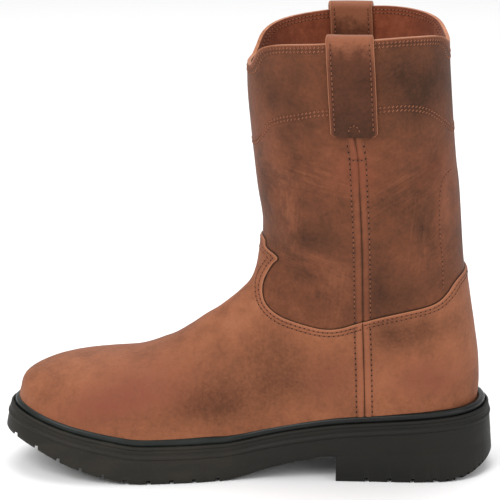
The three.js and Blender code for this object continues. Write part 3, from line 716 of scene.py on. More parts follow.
def part_at(points, faces, measure, levels):
    """Adds lines of points to the grid where a measure reaches each level."""
    for level in levels:
        points, faces = split_along(points, faces, measure(points) - level)[:2]
    return points, faces


def cut_panel(points, faces, measures):
    """Keeps the part of the grid where every measure is above zero."""
    for measure in measures:
        points, faces, value = split_along(points, faces, measure(points))
        faces = keep_above(faces, value)
    used = sorted({v for face in faces for v in face})
    place = {v: n for n, v in enumerate(used)}
    return points[used], [tuple(place[v] for v in face) for face in faces]


def mesh_object(name, points, faces, **columns):
    """A new object from points in millimetres, with named values kept on its points."""
    mesh = bpy.data.meshes.new(name)
    mesh.from_pydata((np.asarray(points, float) * MM).tolist(), [], [list(face) for face in faces])
    for key, values in columns.items():
        mesh.attributes.new(key, "FLOAT", "POINT").data.foreach_set("value", np.asarray(values, np.float32))
    made = bpy.data.objects.new(name, mesh)
    bpy.context.scene.collection.objects.link(made)
    return made


widest_read = 12


def leather_columns(points, **measures):
    """What a leather finish reads: distances in millimetres, the folds, and the patches of wear and of
    painted shade.
    """
    beyond = np.full(len(points), float(widest_read))
    columns = {kind: worn_and_shaded(points, kind) for kind in wear_and_shade_kinds}
    columns["fold"] = points[:, 6]
    for key in ("edge", "seam", "overlap"):
        columns[key] = np.clip(measures.get(key, beyond), -widest_read, widest_read)
    return columns


def choose(thing):
    bpy.ops.object.select_all(action="DESELECT")
    thing.select_set(True)
    bpy.context.view_layer.objects.active = thing


def merge_doubles(thing, apart=0.02):
    choose(thing)
    bpy.ops.object.mode_set(mode="EDIT")
    bpy.ops.mesh.select_all(action="SELECT")
    bpy.ops.mesh.remove_doubles(threshold=apart * MM)
    bpy.ops.mesh.delete_loose()
    bpy.ops.object.mode_set(mode="OBJECT")


def apply_modifier(thing, kind, **settings):
    choose(thing)
    added = thing.modifiers.new(kind.lower(), kind)
    for key, value in settings.items():
        setattr(added, key, value)
    bpy.ops.object.modifier_apply(modifier=added.name)


def smooth(thing, degrees=None):
    choose(thing)
    if degrees is None:
        bpy.ops.object.shade_smooth()
    else:
        bpy.ops.object.shade_smooth_by_angle(angle=math.radians(degrees))


def thicken(thing, thickness):
    """Gives a skin its thickness inwards, with the second finish inside and the third on the cut edge."""
    settings = {"thickness": thickness * MM, "offset": -1, "use_rim": True}
    apply_modifier(thing, "SOLIDIFY", **settings, material_offset=1, material_offset_rim=2)
    smooth(thing, 42)


bpy.ops.object.select_all(action="DESELECT")
print("skin columns: place, normal and wrinkle for", len(skin), "points")

# %% [markdown]
# ## The shell of the upper
# One wall of leather runs from the topline down into the sole. Its skin is cut at the topline and at the
# seat, lines are added beside the side seam so that the groove stays crisp, and Solidify gives it its
# thickness inwards, with one material for the flesh side and one for the raw cut edge.

# %% Shell
shell_points, shell_faces = cut_panel(skin, skin_faces, [below_topline, above_seat])
shell_points, shell_faces = part_at(shell_points, shell_faces, from_seam, seam_offsets)
shell_points, shell_faces = part_at(shell_points, shell_faces, within_overlay, (-3, -1.2, -0.4, 0.4))
shell_relief = shell_points[:, 6] + seam_relief(shell_points, 0.5)
upper_shell = mesh_object(
    "upper_shell",
    moved(shell_points, shell_relief),
    shell_faces,
    **leather_columns(
        shell_points,
        edge=below_topline(shell_points),
        seam=np.abs(from_seam(shell_points)),
        overlap=-within_overlay(shell_points),
    ),
)
merge_doubles(upper_shell)
print("upper shell:", len(upper_shell.data.polygons), "faces")

# %% [markdown]
# ## Vamp and counter
# The vamp covers the foot and the counter the heel. Both are cut from the same skin a little further out,
# meet at the side seam and overlap the shaft. The raw edge is skived, so it rounds over within a
# millimetre: the last two lines of points before the edge come in towards the shaft.

# %% Vamp and counter panels
edge_roll = 1.1
seam_gap = 0.1


def rolled(distance, drop=0.55, width=edge_roll):
    return overlay - drop * np.clip(1 - distance / width, 0, 1) ** 2


def overlay_panel(name, side_measure):
    points, faces = cut_panel(skin, skin_faces, [within_overlay, above_seat, side_measure])
    points, faces = part_at(points, faces, within_overlay, (0.4, edge_roll, 2.2))
    points, faces = part_at(points, faces, side_measure, (0.4, 1.2, 2.6, 4.4))
    edge = within_overlay(points)
    side = side_measure(points)
    out = np.minimum(rolled(edge), rolled(side, 0.4, 0.7)) + points[:, 6] + seam_relief(points, 0)
    panel = mesh_object(name, moved(points, out), faces, **leather_columns(points, edge=edge, seam=side))
    merge_doubles(panel)
    print(name, len(panel.data.polygons), "faces")
    return panel


vamp_panel = overlay_panel("vamp_panel", lambda points: -from_seam(points) - seam_gap)
counter_panel = overlay_panel("counter_panel", lambda points: from_seam(points) - seam_gap)

# %% [markdown]
# ## Pull straps
# Each strap is one strip of leather, sewn down outside, folded over the topline and sewn down inside. Its
# cross-section is a rounded rectangle that is carried along the strip's path, which follows the shaft. The
# foot of the outer leg has rounded corners and is pressed down by its stitching.

# %% Places on the shaft
strap_width = 27.5
strap_thickness = 2.4
strap_outer_leg = 57
strap_inner_leg = 48
strap_gap = 0.6
strap_top_station = 0.302
strap_foot_station = 0.291
shaft_sections = sections[-len(shaft_rows) - 1 :]


def shaft_curve(key):
    heights = [section["front_z"] for section in shaft_sections]
    return curve_through(heights, [section[key] for section in shaft_sections])


shaft_front, shaft_back = shaft_curve("front_x"), shaft_curve("back_x")
shaft_half, shaft_widest, shaft_dome = shaft_curve("lateral"), shaft_curve("widest"), shaft_curve("dome")


def on_shaft(x, z, side, out):
    """A point out from the shaft's skin, and the direction out, at a place in the side view."""
    along = (x - shaft_back(z)) / (shaft_front(z) - shaft_back(z))
    widest = shaft_widest(z)
    front = along > widest
    power = shaft_dome(z) if front else heel_roundness
    reach = (along - widest) / (1 - widest) if front else 1 - along / widest
    share = (1 - reach**power) ** (1 / power)
    slope = reach ** (power - 1) * (1 - reach**power) ** (1 / power - 1)
    length = abs(shaft_front(z) - shaft_back(z)) * ((1 - widest) if front else widest)
    tilt = math.atan(shaft_half(z) * slope / length)
    outward = np.array([(-1 if front else 1) * math.sin(tilt), side * math.cos(tilt), 0])
    return np.array([x, side * shaft_half(z) * share, z]) + out * outward, outward


def topline_at(x):
    order = np.argsort(topline[:, 0])
    return float(np.interp(x, topline[order, 0], topline[order, 1]))


fold_radius = wall / 2 + strap_gap + strap_thickness / 2
fold_drop = 1
strap_top_x = float(x_of(strap_top_station))
strap_foot_x = float(x_of(strap_foot_station))
fold_z = max(topline_at(strap_top_x + share * strap_width) for share in (-0.5, 0, 0.5)) - fold_drop
print("the strap folds at", round(fold_z, 1), "mm")


# %% Straps
outer_steps = 34
fold_steps = 12
inner_steps = 26
flat_steps = 9
edge_bend = 0.75
foot_round = 2.4
pressed_length = 26
pressed_end = 6
pressed_depth = 0.9
mid_wall = -wall / 2

# The straps are darker than the shaft and rubbed light at the fold, and the stop just past the fold is a
# painted highlight on the inner leg, which the collar shades. Each stop gives millimetres past the fold,
# spread and amount.
strap_tone = -0.62
strap_rub_and_painted_light = ((1, 13, 1.0), (8, 6, 2.1), (20, 10, 0.65), (38, 12, 0.3))


def strap_path():
    """Steps from the foot up the outer leg, over the fold and down inside: distance, out, height and turn."""
    leg = np.linspace(strap_outer_leg, 0, outer_steps)
    pressed = smoothstep(leg, strap_outer_leg - pressed_length, strap_outer_leg - pressed_end)
    path = []
    for down, press in zip(leg, pressed_depth * pressed):
        path.append((strap_outer_leg - down, mid_wall + fold_radius - press, fold_z - down, 0))
    for turn in np.linspace(0, math.pi, fold_steps)[1:-1]:
        out = mid_wall + fold_radius * math.cos(turn)
        path.append((strap_outer_leg + fold_radius * turn, out, fold_z + fold_radius * math.sin(turn), turn))
    over = strap_outer_leg + fold_radius * math.pi
    for down in np.linspace(0, strap_inner_leg, inner_steps):
        path.append((over + down, mid_wall - fold_radius, fold_z - down, math.pi))
    return path


def strap_middle(z):
    """Where a strap's middle lies at a height, as its outer leg leans a little."""
    return strap_top_x + (strap_foot_x - strap_top_x) * np.clip((fold_z - z) / strap_outer_leg, 0, 1)


def strap_place(side, step, across, up):
    """A point on the strip: across its width from its middle, and up from its middle layer."""
    out, z, turn = step[1:]
    point, outward = on_shaft(strap_middle(z) + across, min(z, fold_z), side, out + up * math.cos(turn))
    point[2] = z + up * math.sin(turn)
    return point, outward * math.cos(turn) + np.array([0, 0, math.sin(turn)])


def strap_ring(half_width):
    """The strip's cross-section: across and up, with rounded edges."""
    corners = []
    for corner_across, corner_up, start in ((1, -1, -90), (1, 1, 0), (-1, 1, 90), (-1, -1, 180)):
        for degrees in (0, 45, 90):
            angle = math.radians(start + degrees)
            across = corner_across * (half_width - edge_bend) + edge_bend * math.cos(angle)
            up = corner_up * (strap_thickness / 2 - edge_bend) + edge_bend * math.sin(angle)
            corners.append((across, up))
    flat = [(half_width - edge_bend) * (1 - 2 * n / flat_steps) for n in range(1, flat_steps)]
    top = [(across, strap_thickness / 2) for across in flat]
    bottom = [(-across, -strap_thickness / 2) for across in flat]
    return corners[:6] + top + corners[6:] + bottom


def make_strap(side, name):
    rings = []
    for step in strap_path():
        half_width = strap_width / 2
        if step[0] < foot_round:
            half_width -= foot_round - math.sqrt(foot_round**2 - (foot_round - step[0]) ** 2)
        rings.append([strap_place(side, step, across, up)[0] for across, up in strap_ring(half_width)])
    size = len(rings[0])
    past_fold = np.repeat([step[0] for step in strap_path()], size) - strap_outer_leg
    ring_across = np.array([across for across, up in strap_ring(strap_width / 2)])
    edge = np.tile(strap_width / 2 - np.abs(ring_across), len(rings))
    tone = np.full(len(edge), strap_tone)
    # Rubbed light at the fold, and a painted highlight on the inner leg just past it.
    for middle, spread, amount in strap_rub_and_painted_light:
        tone += amount * np.exp(-(((past_fold - middle) / spread) ** 2))
    unworn, beyond = 0 * tone, 0 * tone + widest_read
    columns = {**dict.fromkeys((*wear_and_shade_kinds, "fold"), unworn), "tone": tone}
    columns.update(edge=np.minimum(edge, widest_read), seam=beyond, overlap=beyond)
    strap = mesh_object(name, np.concatenate(rings), tube_faces(len(rings), size), **columns)
    choose(strap)
    bpy.ops.object.mode_set(mode="EDIT")
    bpy.ops.mesh.select_all(action="SELECT")
    bpy.ops.mesh.normals_make_consistent(inside=False)
    bpy.ops.object.mode_set(mode="OBJECT")
    smooth(strap, 50)
    print(name, len(strap.data.polygons), "faces")
    return strap


strap_medial = make_strap(-1, "strap_medial")
strap_lateral = make_strap(1, "strap_lateral")

# %% [markdown]
# ## The sole's bands
# The welt, the midsole, the tread and the heel are bands around one outline. A band is a stack of rings:
# each ring has a height at every station and stands in or out from the outline, and the whole wall leans
# in towards the top. The last and first rings are closed with strips across the sole.


# %% Bands
def band(name, rings, close=True):
    station = station_of(outline[:, 0])
    foot = wall_foot(station)
    points = []
    for height, out in rings:
        lean = side_flare * (height(station) - foot) / (rim_top(station) - foot)
        reach = out(station) if callable(out) else out
        flat = outline + outline_out * (reach - lean)[:, None]
        points.append(np.column_stack([flat, height(station_of(flat[:, 0]))]))
    count = len(outline)
    last = (len(rings) - 1) * count
    faces = ring_faces(len(rings), count)
    if close:
        for i in range(plan_steps):
            medial, next_medial = (count - i) % count, count - i - 1
            for base, flip in ((0, True), (last, False)):
                face = [base + i, base + i + 1, base + next_medial, base + medial]
                face = [v for n, v in enumerate(face) if v not in face[:n]]
                faces.append(tuple(face[::-1] if flip else face))
    else:
        faces += [(last + i, last + (i + 1) % count, (i + 1) % count, i) for i in range(count)]
    made = mesh_object(name, np.vstack(points), faces)
    smooth(made, 38)
    print(name, len(made.data.polygons), "faces")
    return made


def up_from(base, rise):
    return lambda station: base(station) + rise


# %% [markdown]
# ## Storm welt
# The welt is a glossy rubber bead that is bonded round the upper. It stands higher than the rim of the
# sole, with a dark groove between the two. Its section is a half round, so its rings follow an arc.

# %% Storm welt
welt_outside = -rim_width - welt_groove
bead_width = 4.6
bead_rise = 1.9
bead_seat = up_from(seat_height, insole_gap)


def bead_rings():
    rings = [(bead_seat, welt_outside - 0.4)]
    rings += [(up_from(seat_height, 1.0), welt_outside), (up_from(seat_height, 3.0), welt_outside + 0.25)]
    for degrees in range(0, 181, 18):
        angle = math.radians(degrees)
        middle = welt_outside + 0.3 - bead_width / 2
        rise = welt_height - bead_rise + bead_rise * math.sin(angle)
        rings.append((up_from(seat_height, rise), middle + bead_width / 2 * math.cos(angle)))
    rings.append((bead_seat, welt_outside - bead_width - 1.2))
    return rings


welt_bead = band("welt_bead", bead_rings(), close=False)

# %% [markdown]
# ## Midsole, tread and heel
# The wall of the midsole has a thin lip at its top, a raised line part of the way down and a fainter one
# below it. The tread wall under it is plain, with a chamfer where it meets the ground. The heel block is
# the same band cut off at its breast.

# %% Midsole
rib_stand = 0.8


def below_rim(drop):
    return lambda station: rim_top(station) - drop


midsole_profile = [(midsole_thickness, 0.1), (7.8, 0.35), (7.2, 0.7), (6.4, rib_stand), (5.9, 0.6)]
midsole_profile += [(5.5, 0.12), (5.1, 0), (4.5, 0), (4.35, 0.28), (4.0, 0.28), (3.85, 0.02), (2.2, 0)]
midsole_profile += [(2.05, -0.25), (1.8, -0.25), (1.6, 0.05), (0.5, 0.05), (0.15, -0.15), (0, -0.5)]
midsole_profile += [(0, -rim_width + 0.2), (0.2, -rim_width), (rim_height, -rim_width - 0.2)]
midsole_wall = band("midsole_wall", [(below_rim(drop), out) for drop, out in midsole_profile])

# %% Cutters for the lugs
lug_pitch = 14
lug_gap = 2.4
lug_depth = 2.6
lug_run = 17
tread_lugs = (0.56, 0.975)
channel_ends = (0.56, 0.93)
channel_share = 0.6


def cutter_box(middle, size, turn=0.0):
    bpy.ops.mesh.primitive_cube_add(
        size=1,
        location=[float(v) * MM for v in middle],
        rotation=(0, 0, turn),
        scale=[float(v) * MM for v in size],
    )
    bpy.ops.object.transform_apply(location=True, rotation=True, scale=True)
    return bpy.context.object


def lug_cutters(from_station, to_station, floor):
    boxes = []
    for n in range(int((to_station - from_station) * boot_length / lug_pitch) + 1):
        station = from_station + n * lug_pitch / boot_length
        turn = math.acos(1 - 2 * station) / math.pi
        for plan in (lateral_plan, medial_plan):
            edge = float(plan(turn))
            middle_y = edge - math.copysign((lug_run - lug_depth) / 2, edge)
            middle = (float(x_of(station)), middle_y, float(floor(station)))
            boxes.append(cutter_box(middle, (lug_gap, lug_run + lug_depth, 2 * lug_depth)))
    return boxes


def channel_cutter(plan, from_station, to_station, share):
    """A curved prism along the tread between the edge lugs and the middle field."""
    stations = np.linspace(from_station, to_station, 25)
    points = []
    for station in stations:
        edge = float(plan(math.acos(1 - 2 * station) / math.pi)) * share
        x, floor = float(x_of(station)), float(tread_height(station))
        for y, z in ((-1, -1), (1, -1), (1, 1), (-1, 1)):
            points.append((x, edge + y * lug_gap / 2, floor + z * lug_depth))
    last = 4 * (len(stations) - 1)
    ends = [(0, 1, 2, 3), (last + 3, last + 2, last + 1, last)]
    return mesh_object("channel", points, grid_faces(len(stations), 4) + ends)


def cut_away(thing, cutters):
    """Joins the cutters, subtracts them and removes them."""
    bpy.ops.object.select_all(action="DESELECT")
    for cutter in cutters:
        cutter.select_set(True)
    bpy.context.view_layer.objects.active = cutters[0]
    bpy.ops.object.join()
    joined = bpy.context.object
    apply_modifier(thing, "BOOLEAN", operation="DIFFERENCE", object=joined, solver="EXACT")
    bpy.data.objects.remove(joined)
    smooth(thing, 38)


# %% Tread
joint_gap = 0.06


def bare_edge(inset):
    """How far the tread's lower edge is rounded in, where no heel block lies under it."""
    return lambda station: -inset * smoothstep(station, breast_station - 0.005, breast_station + 0.02)


tread_rings = [
    (tread_height, bare_edge(1.4)),
    (up_from(tread_height, 0.5), bare_edge(0.5)),
    (up_from(tread_height, 1.2), 0),
    (up_from(tread_height, 3.2), 0.1),
    (below_rim(midsole_thickness + joint_gap + 0.7), 0.15),
    (below_rim(midsole_thickness + joint_gap), 0.1),
]
tread_sole = band("tread_sole", tread_rings)
cut_away(tread_sole, lug_cutters(*tread_lugs, tread_height))
channels = [channel_cutter(plan, *channel_ends, channel_share) for plan in (medial_plan, lateral_plan)]
cut_away(tread_sole, channels)
print("tread:", len(tread_sole.data.polygons), "faces after its cuts")

# %% Heel block
heel_bevel_station = heel_bevel_length / boot_length
heel_lugs = (0.075, breast_station - 0.04)
bevel_grooves = 9
bevel_groove = (9, 1.5, 3.6)
bevel_inset = 2.2
bevel_from, bevel_run = 0.09, 0.17


def heel_ground(station):
    into = np.clip(1 - np.asarray(station, float) / heel_bevel_station, 0, 1)
    return heel_bevel_rise * into**2


def heel_top(station):
    return tread_height(station) - joint_gap


def bevel_cutters(count):
    """Short grooves across the heel's rear bevel, square to its edge."""
    boxes = []
    for side in (1, -1):
        for n in range(count):
            i = side * round((bevel_from + bevel_run * n / count) * plan_steps) % len(outline)
            x, y = outline[i]
            outward = outline_out[i]
            height = float(heel_ground(station_of(x)))
            middle = (x - bevel_inset * outward[0], y - bevel_inset * outward[1], height)
            boxes.append(cutter_box(middle, bevel_groove, math.atan2(outward[1], outward[0])))
    return boxes


heel_rings = [
    (heel_ground, -1.2),
    (up_from(heel_ground, 0.5), -0.35),
    (up_from(heel_ground, 1.1), 0),
    (up_from(heel_top, -0.4), 0),
    (heel_top, -0.05),
]
heel_block = band("heel_block", heel_rings)
choose(heel_block)
bpy.ops.object.mode_set(mode="EDIT")
bpy.ops.mesh.select_all(action="SELECT")
breast_x = float(x_of(breast_station))
bpy.ops.mesh.bisect(
    plane_co=(breast_x * MM, 0, 0), plane_no=(-1, 0, 0), use_fill=True, clear_outer=True, clear_inner=False
)
bpy.ops.object.mode_set(mode="OBJECT")
cut_away(heel_block, lug_cutters(*heel_lugs, lambda station: 0))
cut_away(heel_block, bevel_cutters(bevel_grooves))
print("heel:", len(heel_block.data.polygons), "faces after its cuts")

# %% [markdown]
# ## Stitching
# Every seam is sewn with real thread. A seam's line is where a measure on the skin reaches a value, such as
# a distance from the panel's edge, so it is traced over the grid. One stitch is a short arc of thread that
# dips into the leather at both ends. It is shaped once and copied along the line, with a needle hole painted
# dark, as painted shade, between it and the next.


# %% Tracing lines
fine_step = 0.8
smoothing_rounds = 4


def trace(points, faces, value):
    """The lines where a value is zero on the grid, each as an array of the skin's columns."""
    crossing, links = {}, {}
    for face in faces:
        cuts = []
        for n, a in enumerate(face):
            b = face[(n + 1) % len(face)]
            if (value[a] > 0) != (value[b] > 0):
                key = (min(a, b), max(a, b))
                if key not in crossing:
                    share = value[key[0]] / (value[key[0]] - value[key[1]])
                    crossing[key] = points[key[0]] * (1 - share) + points[key[1]] * share
                cuts.append(key)
        if len(cuts) == 2:
            links.setdefault(cuts[0], []).append(cuts[1])
            links.setdefault(cuts[1], []).append(cuts[0])
    unused, lines = set(links), []
    for start in sorted(links, key=lambda key: (len(links[key]), key)):
        if start not in unused:
            continue
        chain, following = [], [start]
        while following:
            chain.append(following[0])
            unused.discard(following[0])
            following = [key for key in links[chain[-1]] if key in unused]
        if len(chain) > 2 and len(links[start]) == 2 and start in links[chain[-1]]:
            chain.append(start)
        lines.append(np.array([crossing[key] for key in chain]))
    return [line for line in lines if len(line) > 3]


def stretches(lines, wanted):
    """The parts of the lines where a condition holds."""
    kept = []
    for line in lines:
        marks = wanted(line)
        start = None
        for n, mark in enumerate(np.append(marks, False)):
            if mark and start is None:
                start = n
            if not mark and start is not None:
                if n - start > 3:
                    kept.append(line[start:n])
                start = None
    return kept


def evened(line, apart):
    """The line at even steps of its own length, a little smoothed."""
    run = np.concatenate([[0], np.cumsum(np.linalg.norm(np.diff(line[:, :3], axis=0), axis=1))])
    fine = np.linspace(0, run[-1], max(int(run[-1] / fine_step), 4))
    even = np.column_stack([np.interp(fine, run, line[:, n]) for n in range(line.shape[1])])
    for n in range(smoothing_rounds):
        even[1:-1] = (even[:-2] + 2 * even[1:-1] + even[2:]) / 4
    steps = max(int(run[-1] / apart), 1)
    places = np.linspace(0, run[-1], steps + 1)
    return np.column_stack([np.interp(places, fine, even[:, n]) for n in range(line.shape[1])])


# %% One stitch and rows of it
thread_radius = 0.36
hole_radius = 0.42
stitch_rings = ((-1, 0.45, -0.75), (-0.62, 0.9, 0.2), (0, 1, 0.6), (0.62, 0.9, 0.2), (1, 0.45, -0.75))
stitch_sides = 6
hole_sides = 8
hole_length, hole_breadth = 1.15, 0.9
slanted_pit = 0.34


def frame_of(along, normal, slant):
    normal = normal / np.linalg.norm(normal)
    along = along - normal * (along @ normal)
    along = along / np.linalg.norm(along)
    across = np.cross(normal, along)
    turned = along * math.cos(slant) + across * math.sin(slant)
    return turned, np.cross(normal, turned), normal


def stitch_points(middle, along, across, normal, length, radius):
    points = []
    for place, girth, rise in stitch_rings:
        centre = middle + along * place * length / 2 + normal * rise * radius
        for n in range(stitch_sides):
            angle = 2 * math.pi * n / stitch_sides
            points.append(centre + radius * girth * (across * math.cos(angle) + normal * math.sin(angle)))
    return points


stitch_faces = tube_faces(len(stitch_rings), stitch_sides)


class Sewing:
    """Collects the stitches and needle holes of one group of seams."""

    def __init__(self):
        self.thread, self.thread_faces, self.holes, self.hole_faces = [], [], [], []

    def stitch(self, middle, directions, length, radius):
        base = len(self.thread)
        self.thread += stitch_points(middle, *directions, length, radius)
        self.thread_faces += [tuple(base + v for v in face) for face in stitch_faces]

    def hole(self, middle, along, normal, radius=hole_radius, lift=0.05):
        """A pit painted dark as painted shade: a small cone, point down, whose mouth lies just above the
        leather.
        """
        along, across, normal = frame_of(along, normal, 0)
        base = len(self.holes)
        for n in range(hole_sides):
            angle = 2 * math.pi * n / hole_sides
            mouth = along * math.cos(angle) * hole_length + across * math.sin(angle) * hole_breadth
            self.holes.append(middle + normal * lift + radius * mouth)
        self.holes.append(middle - normal * radius)
        self.hole_faces.append(tuple(range(base, base + hole_sides)))
        for n in range(hole_sides):
            self.hole_faces.append((base + (n + 1) % hole_sides, base + n, base + hole_sides))

    def row(self, line, out, pitch=3.4, slant=0.0, share=0.74, radius=thread_radius, pit=hole_radius):
        """Sews along a line of the skin, where out tells how far the leather stands out there."""
        even = evened(line, pitch)
        places = moved(even, out(even)) if out else even[:, :3]
        normals = even[:, 3:6]
        for n in range(len(even) - 1):
            step, middle = places[n + 1] - places[n], (places[n] + places[n + 1]) / 2
            directions = frame_of(step, (normals[n] + normals[n + 1]) / 2, slant)
            length = np.linalg.norm(step) * share
            self.stitch(middle, directions, length, radius)
            if slant == 0:
                self.hole(places[n], step, normals[n], pit)
            else:
                along, across, normal = directions
                for end in (-1, 1):
                    self.hole(middle + along * (length / 2) * end, along, normal, slanted_pit)

    def finish(self, name):
        thread = mesh_object(name + "_thread", self.thread, self.thread_faces)
        holes = mesh_object(name + "_holes", self.holes, self.hole_faces)
        smooth(thread)
        holes_made = len(self.hole_faces) // (hole_sides + 1)
        print(name, len(self.thread_faces) // len(stitch_faces), "stitches,", holes_made, "holes")
        return thread, holes


# %% [markdown]
# ## The seams
# Two slanted rows hold the collar's fold and two more its band, the side seams have a straight row on each
# side, and two rows follow the edge of the vamp and counter. A bar tack crosses each side seam high up.

# %% Seams of the upper
band_rows = [
    (0.56, 0.69),
    (0.5, 0.695),
    (0.4725, 0.735),
    (0.46, 0.766),
    (0.436, 0.787),
    (0.396, 0.803),
    (0.348, 0.817),
    (0.242, 0.826),
    (0.194, 0.827),
    (0.155, 0.815),
    (0.135, 0.797),
    (0.114, 0.77),
    (0.09, 0.735),
    (0.04, 0.725),
]
stay_rows = [
    (0.1, 0.646),
    (0.113, 0.635),
    (0.12, 0.615),
    (0.123, 0.56),
    (0.12, 0.481),
    (0.1155, 0.433),
    (0.1125, 0.358),
    (0.112, 0.335),
]
band_line = side_line(band_rows)
stay_line = side_line(stay_rows)
strap_clear = strap_width / 2 - 2.5
collar_slant = 0.75
side_rows = (-5.0, 4.6)
tack_rise = 0.699
tack_steps = 8
knot_radius = 1.1


def above_line(line, points):
    order = np.argsort(line[:, 0])
    return points[:, 2] - np.interp(points[:, 0], line[order, 0], line[order, 1])


def clear_of_straps(line):
    return np.abs(line[:, 0] - strap_middle(line[:, 2])) > strap_clear


def skin_relief(line):
    return line[:, 6] + seam_relief(line, 0)


def overlay_relief(line):
    return skin_relief(line) + overlay


def traced(value):
    return trace(skin, skin_faces, value)


def turned_inwards(line):
    """The same line as seen from inside the shaft."""
    turned = line.copy()
    turned[:, 3:6] *= -1
    return turned


def inner_relief(line):
    return wall - line[:, 6]


collar = Sewing()
for below in (2.2, 4.4):
    for line in stretches(traced(below_topline(skin) - below), clear_of_straps):
        collar.row(line, skin_relief, pitch=2.5, slant=collar_slant, share=0.9, radius=0.3)
        collar.row(turned_inwards(line), inner_relief, pitch=2.5, share=0.8, radius=0.3)
for rise in (1.2, -1.2):
    for line in stretches(traced(above_line(band_line, skin) - rise), clear_of_straps):
        collar.row(line, skin_relief, pitch=2.6, slant=collar_slant, share=0.88, radius=0.28)
collar_thread, collar_holes = collar.finish("collar")

seams = Sewing()
strap_foot_z = fold_z - strap_outer_leg
tack_z = float(shaft_z(tack_rise))
for offset in side_rows:
    for line in traced(from_seam(skin) - offset):
        bare = stretches([line], lambda at: (within_overlay(at) < -0.5) & (at[:, 2] < strap_foot_z - 1))
        covered = stretches([line], lambda at: (within_overlay(at) > 0.5) & (above_seat(at) > 4.5))
        for part in stretches(bare, lambda at: at[:, 2] >= tack_z):
            seams.row(part, skin_relief, pitch=3.1, pit=0.62)
        for part in stretches(bare, lambda at: at[:, 2] < tack_z + rows_apart):
            seams.row(part, skin_relief, pitch=3.3, pit=0.56)
        for part in covered:
            seams.row(part, overlay_relief, pitch=3.3, pit=0.62)
for side in (-1, 1):
    tack_x = seam_x(tack_z) + np.linspace(*side_rows, tack_steps)
    tack = [np.concatenate(on_shaft(x, tack_z, side, 0.25)) for x in tack_x]
    seams.row(np.array(tack), None, pitch=2.4, pit=0.5)
for line in traced(from_seam(skin)):
    knot = int(np.argmin(np.abs(within_overlay(line) - 0.4)))
    mouth = moved(line, overlay_relief(line))[knot]
    seams.hole(mouth, np.array([0, 0, 1.0]), line[knot, 3:6], knot_radius, 0.15)
for inset in (1.9, 4.1):
    for line in traced(within_overlay(skin) - inset):
        for part in stretches([line], lambda at: np.abs(from_seam(at)) > 1.2):
            seams.row(part, overlay_relief, pitch=2.9, share=0.66, pit=0.5)
stay_x = curve_through(stay_line[::-1, 1], stay_line[::-1, 0])
stay_low, stay_high = float(stay_line[-1][1]), float(stay_line[0][1])
for line in traced(skin[:, 0] - stay_x(skin[:, 2])):
    for part in stretches([line], lambda at: (at[:, 2] < stay_high) & (at[:, 2] > stay_low)):
        seams.row(part, skin_relief, pitch=2.9)
upper_thread, upper_holes = seams.finish("upper")

# %% [markdown]
# The strips are sewn along both long edges, outside and inside, and once more over the foot's middle.

# %% Seams of the straps
strap_row_inset = 2.7
arch_half, arch_foot, arch_rise = 3.3, 3, 5


def strap_line(side, across, from_run, to_run):
    rows = [step for step in strap_path() if from_run <= step[0] <= to_run]
    places = [strap_place(side, step, across, strap_thickness / 2) for step in rows]
    return np.array([np.concatenate([point, normal]) for point, normal in places])


def strap_arch(side):
    """The small arch of stitches at the foot of the outer leg."""
    leg = np.array(strap_path())[:outer_steps]
    line = []
    for degrees in np.linspace(180, 0, 13):
        across = arch_half * math.cos(math.radians(degrees))
        rise = arch_foot + arch_rise * math.sin(math.radians(degrees))
        step = tuple(np.interp(rise, leg[:, 0], leg[:, n]) for n in range(4))
        point, normal = strap_place(side, step, across, strap_thickness / 2)
        line.append(np.concatenate([point, normal]))
    return np.array(line)


strap_sewing = Sewing()
whole_run = strap_path()[-1][0]
for side in (-1, 1):
    for across in (strap_row_inset - strap_width / 2, strap_width / 2 - strap_row_inset):
        strap_sewing.row(strap_line(side, across, 2.5, whole_run - 2), None, pitch=3.0)
    strap_sewing.row(strap_arch(side), None, pitch=2.4)
strap_thread, strap_holes = strap_sewing.finish("strap")

# %% [markdown]
# ## Finishes as Python expressions
# A finish is a network of shader nodes. The class below wraps one socket, so that an expression such as
# 1 - mask adds the Math nodes for it, and its method node adds a node of any other kind. Distances that the
# meshes carry as attributes tell a finish where the seams, edges, folds, worn patches and painted shade are.


# %% A wrapper for sockets
class Signal:
    """A socket of a finish. Python's operators on it add Math nodes."""

    def __init__(self, tree, socket=None):
        self.tree, self.socket = tree, socket

    def node(self, kind, settings=(), inputs=(), output=0):
        """Adds a node: its settings first, such as an operation or a ramp's stops, then its sockets."""
        made = self.tree.nodes.new(kind)
        for key, value in dict(settings).items():
            if key == "stops":
                for n, (place, colour) in enumerate(value):
                    stop = made.color_ramp.elements[n] if n < 2 else made.color_ramp.elements.new(place)
                    stop.position, stop.color = place, colour
            else:
                setattr(made, key, value)
        for key, value in dict(inputs).items():
            if isinstance(value, Signal):
                self.tree.links.new(value.socket, made.inputs[key])
            else:
                made.inputs[key].default_value = value
        return Signal(self.tree, made.outputs[output])

    def maths(self, operation, *values):
        return self.node("ShaderNodeMath", {"operation": operation}, enumerate(values))

    def __add__(self, other):
        return self.maths("ADD", self, other)

    def __sub__(self, other):
        return self.maths("SUBTRACT", self, other)

    def __rsub__(self, other):
        return self.maths("SUBTRACT", other, self)

    def __mul__(self, other):
        return self.maths("MULTIPLY", self, other)

    __radd__ = __add__
    __rmul__ = __mul__


# %% Helpers for finishes
def shown(red, green, blue):
    """The shader's colour for one that a screen shows, from 0 to 255."""
    shares = [value / 255 for value in (red, green, blue)]
    return (*[v / 12.92 if v <= 0.04045 else ((v + 0.055) / 1.055) ** 2.4 for v in shares], 1)


def start_finish(name, **constants):
    """A new material, the first signal of its tree, and its place in Object coordinates."""
    made = bpy.data.materials.new(name)
    made.use_nodes = True
    shader = made.node_tree.nodes["Principled BSDF"]
    for key, value in constants.items():
        shader.inputs[key.replace("_", " ").title().replace("Ior", "IOR")].default_value = value
    signal = Signal(made.node_tree)
    return made, signal, signal.node("ShaderNodeTexCoord", output="Object")


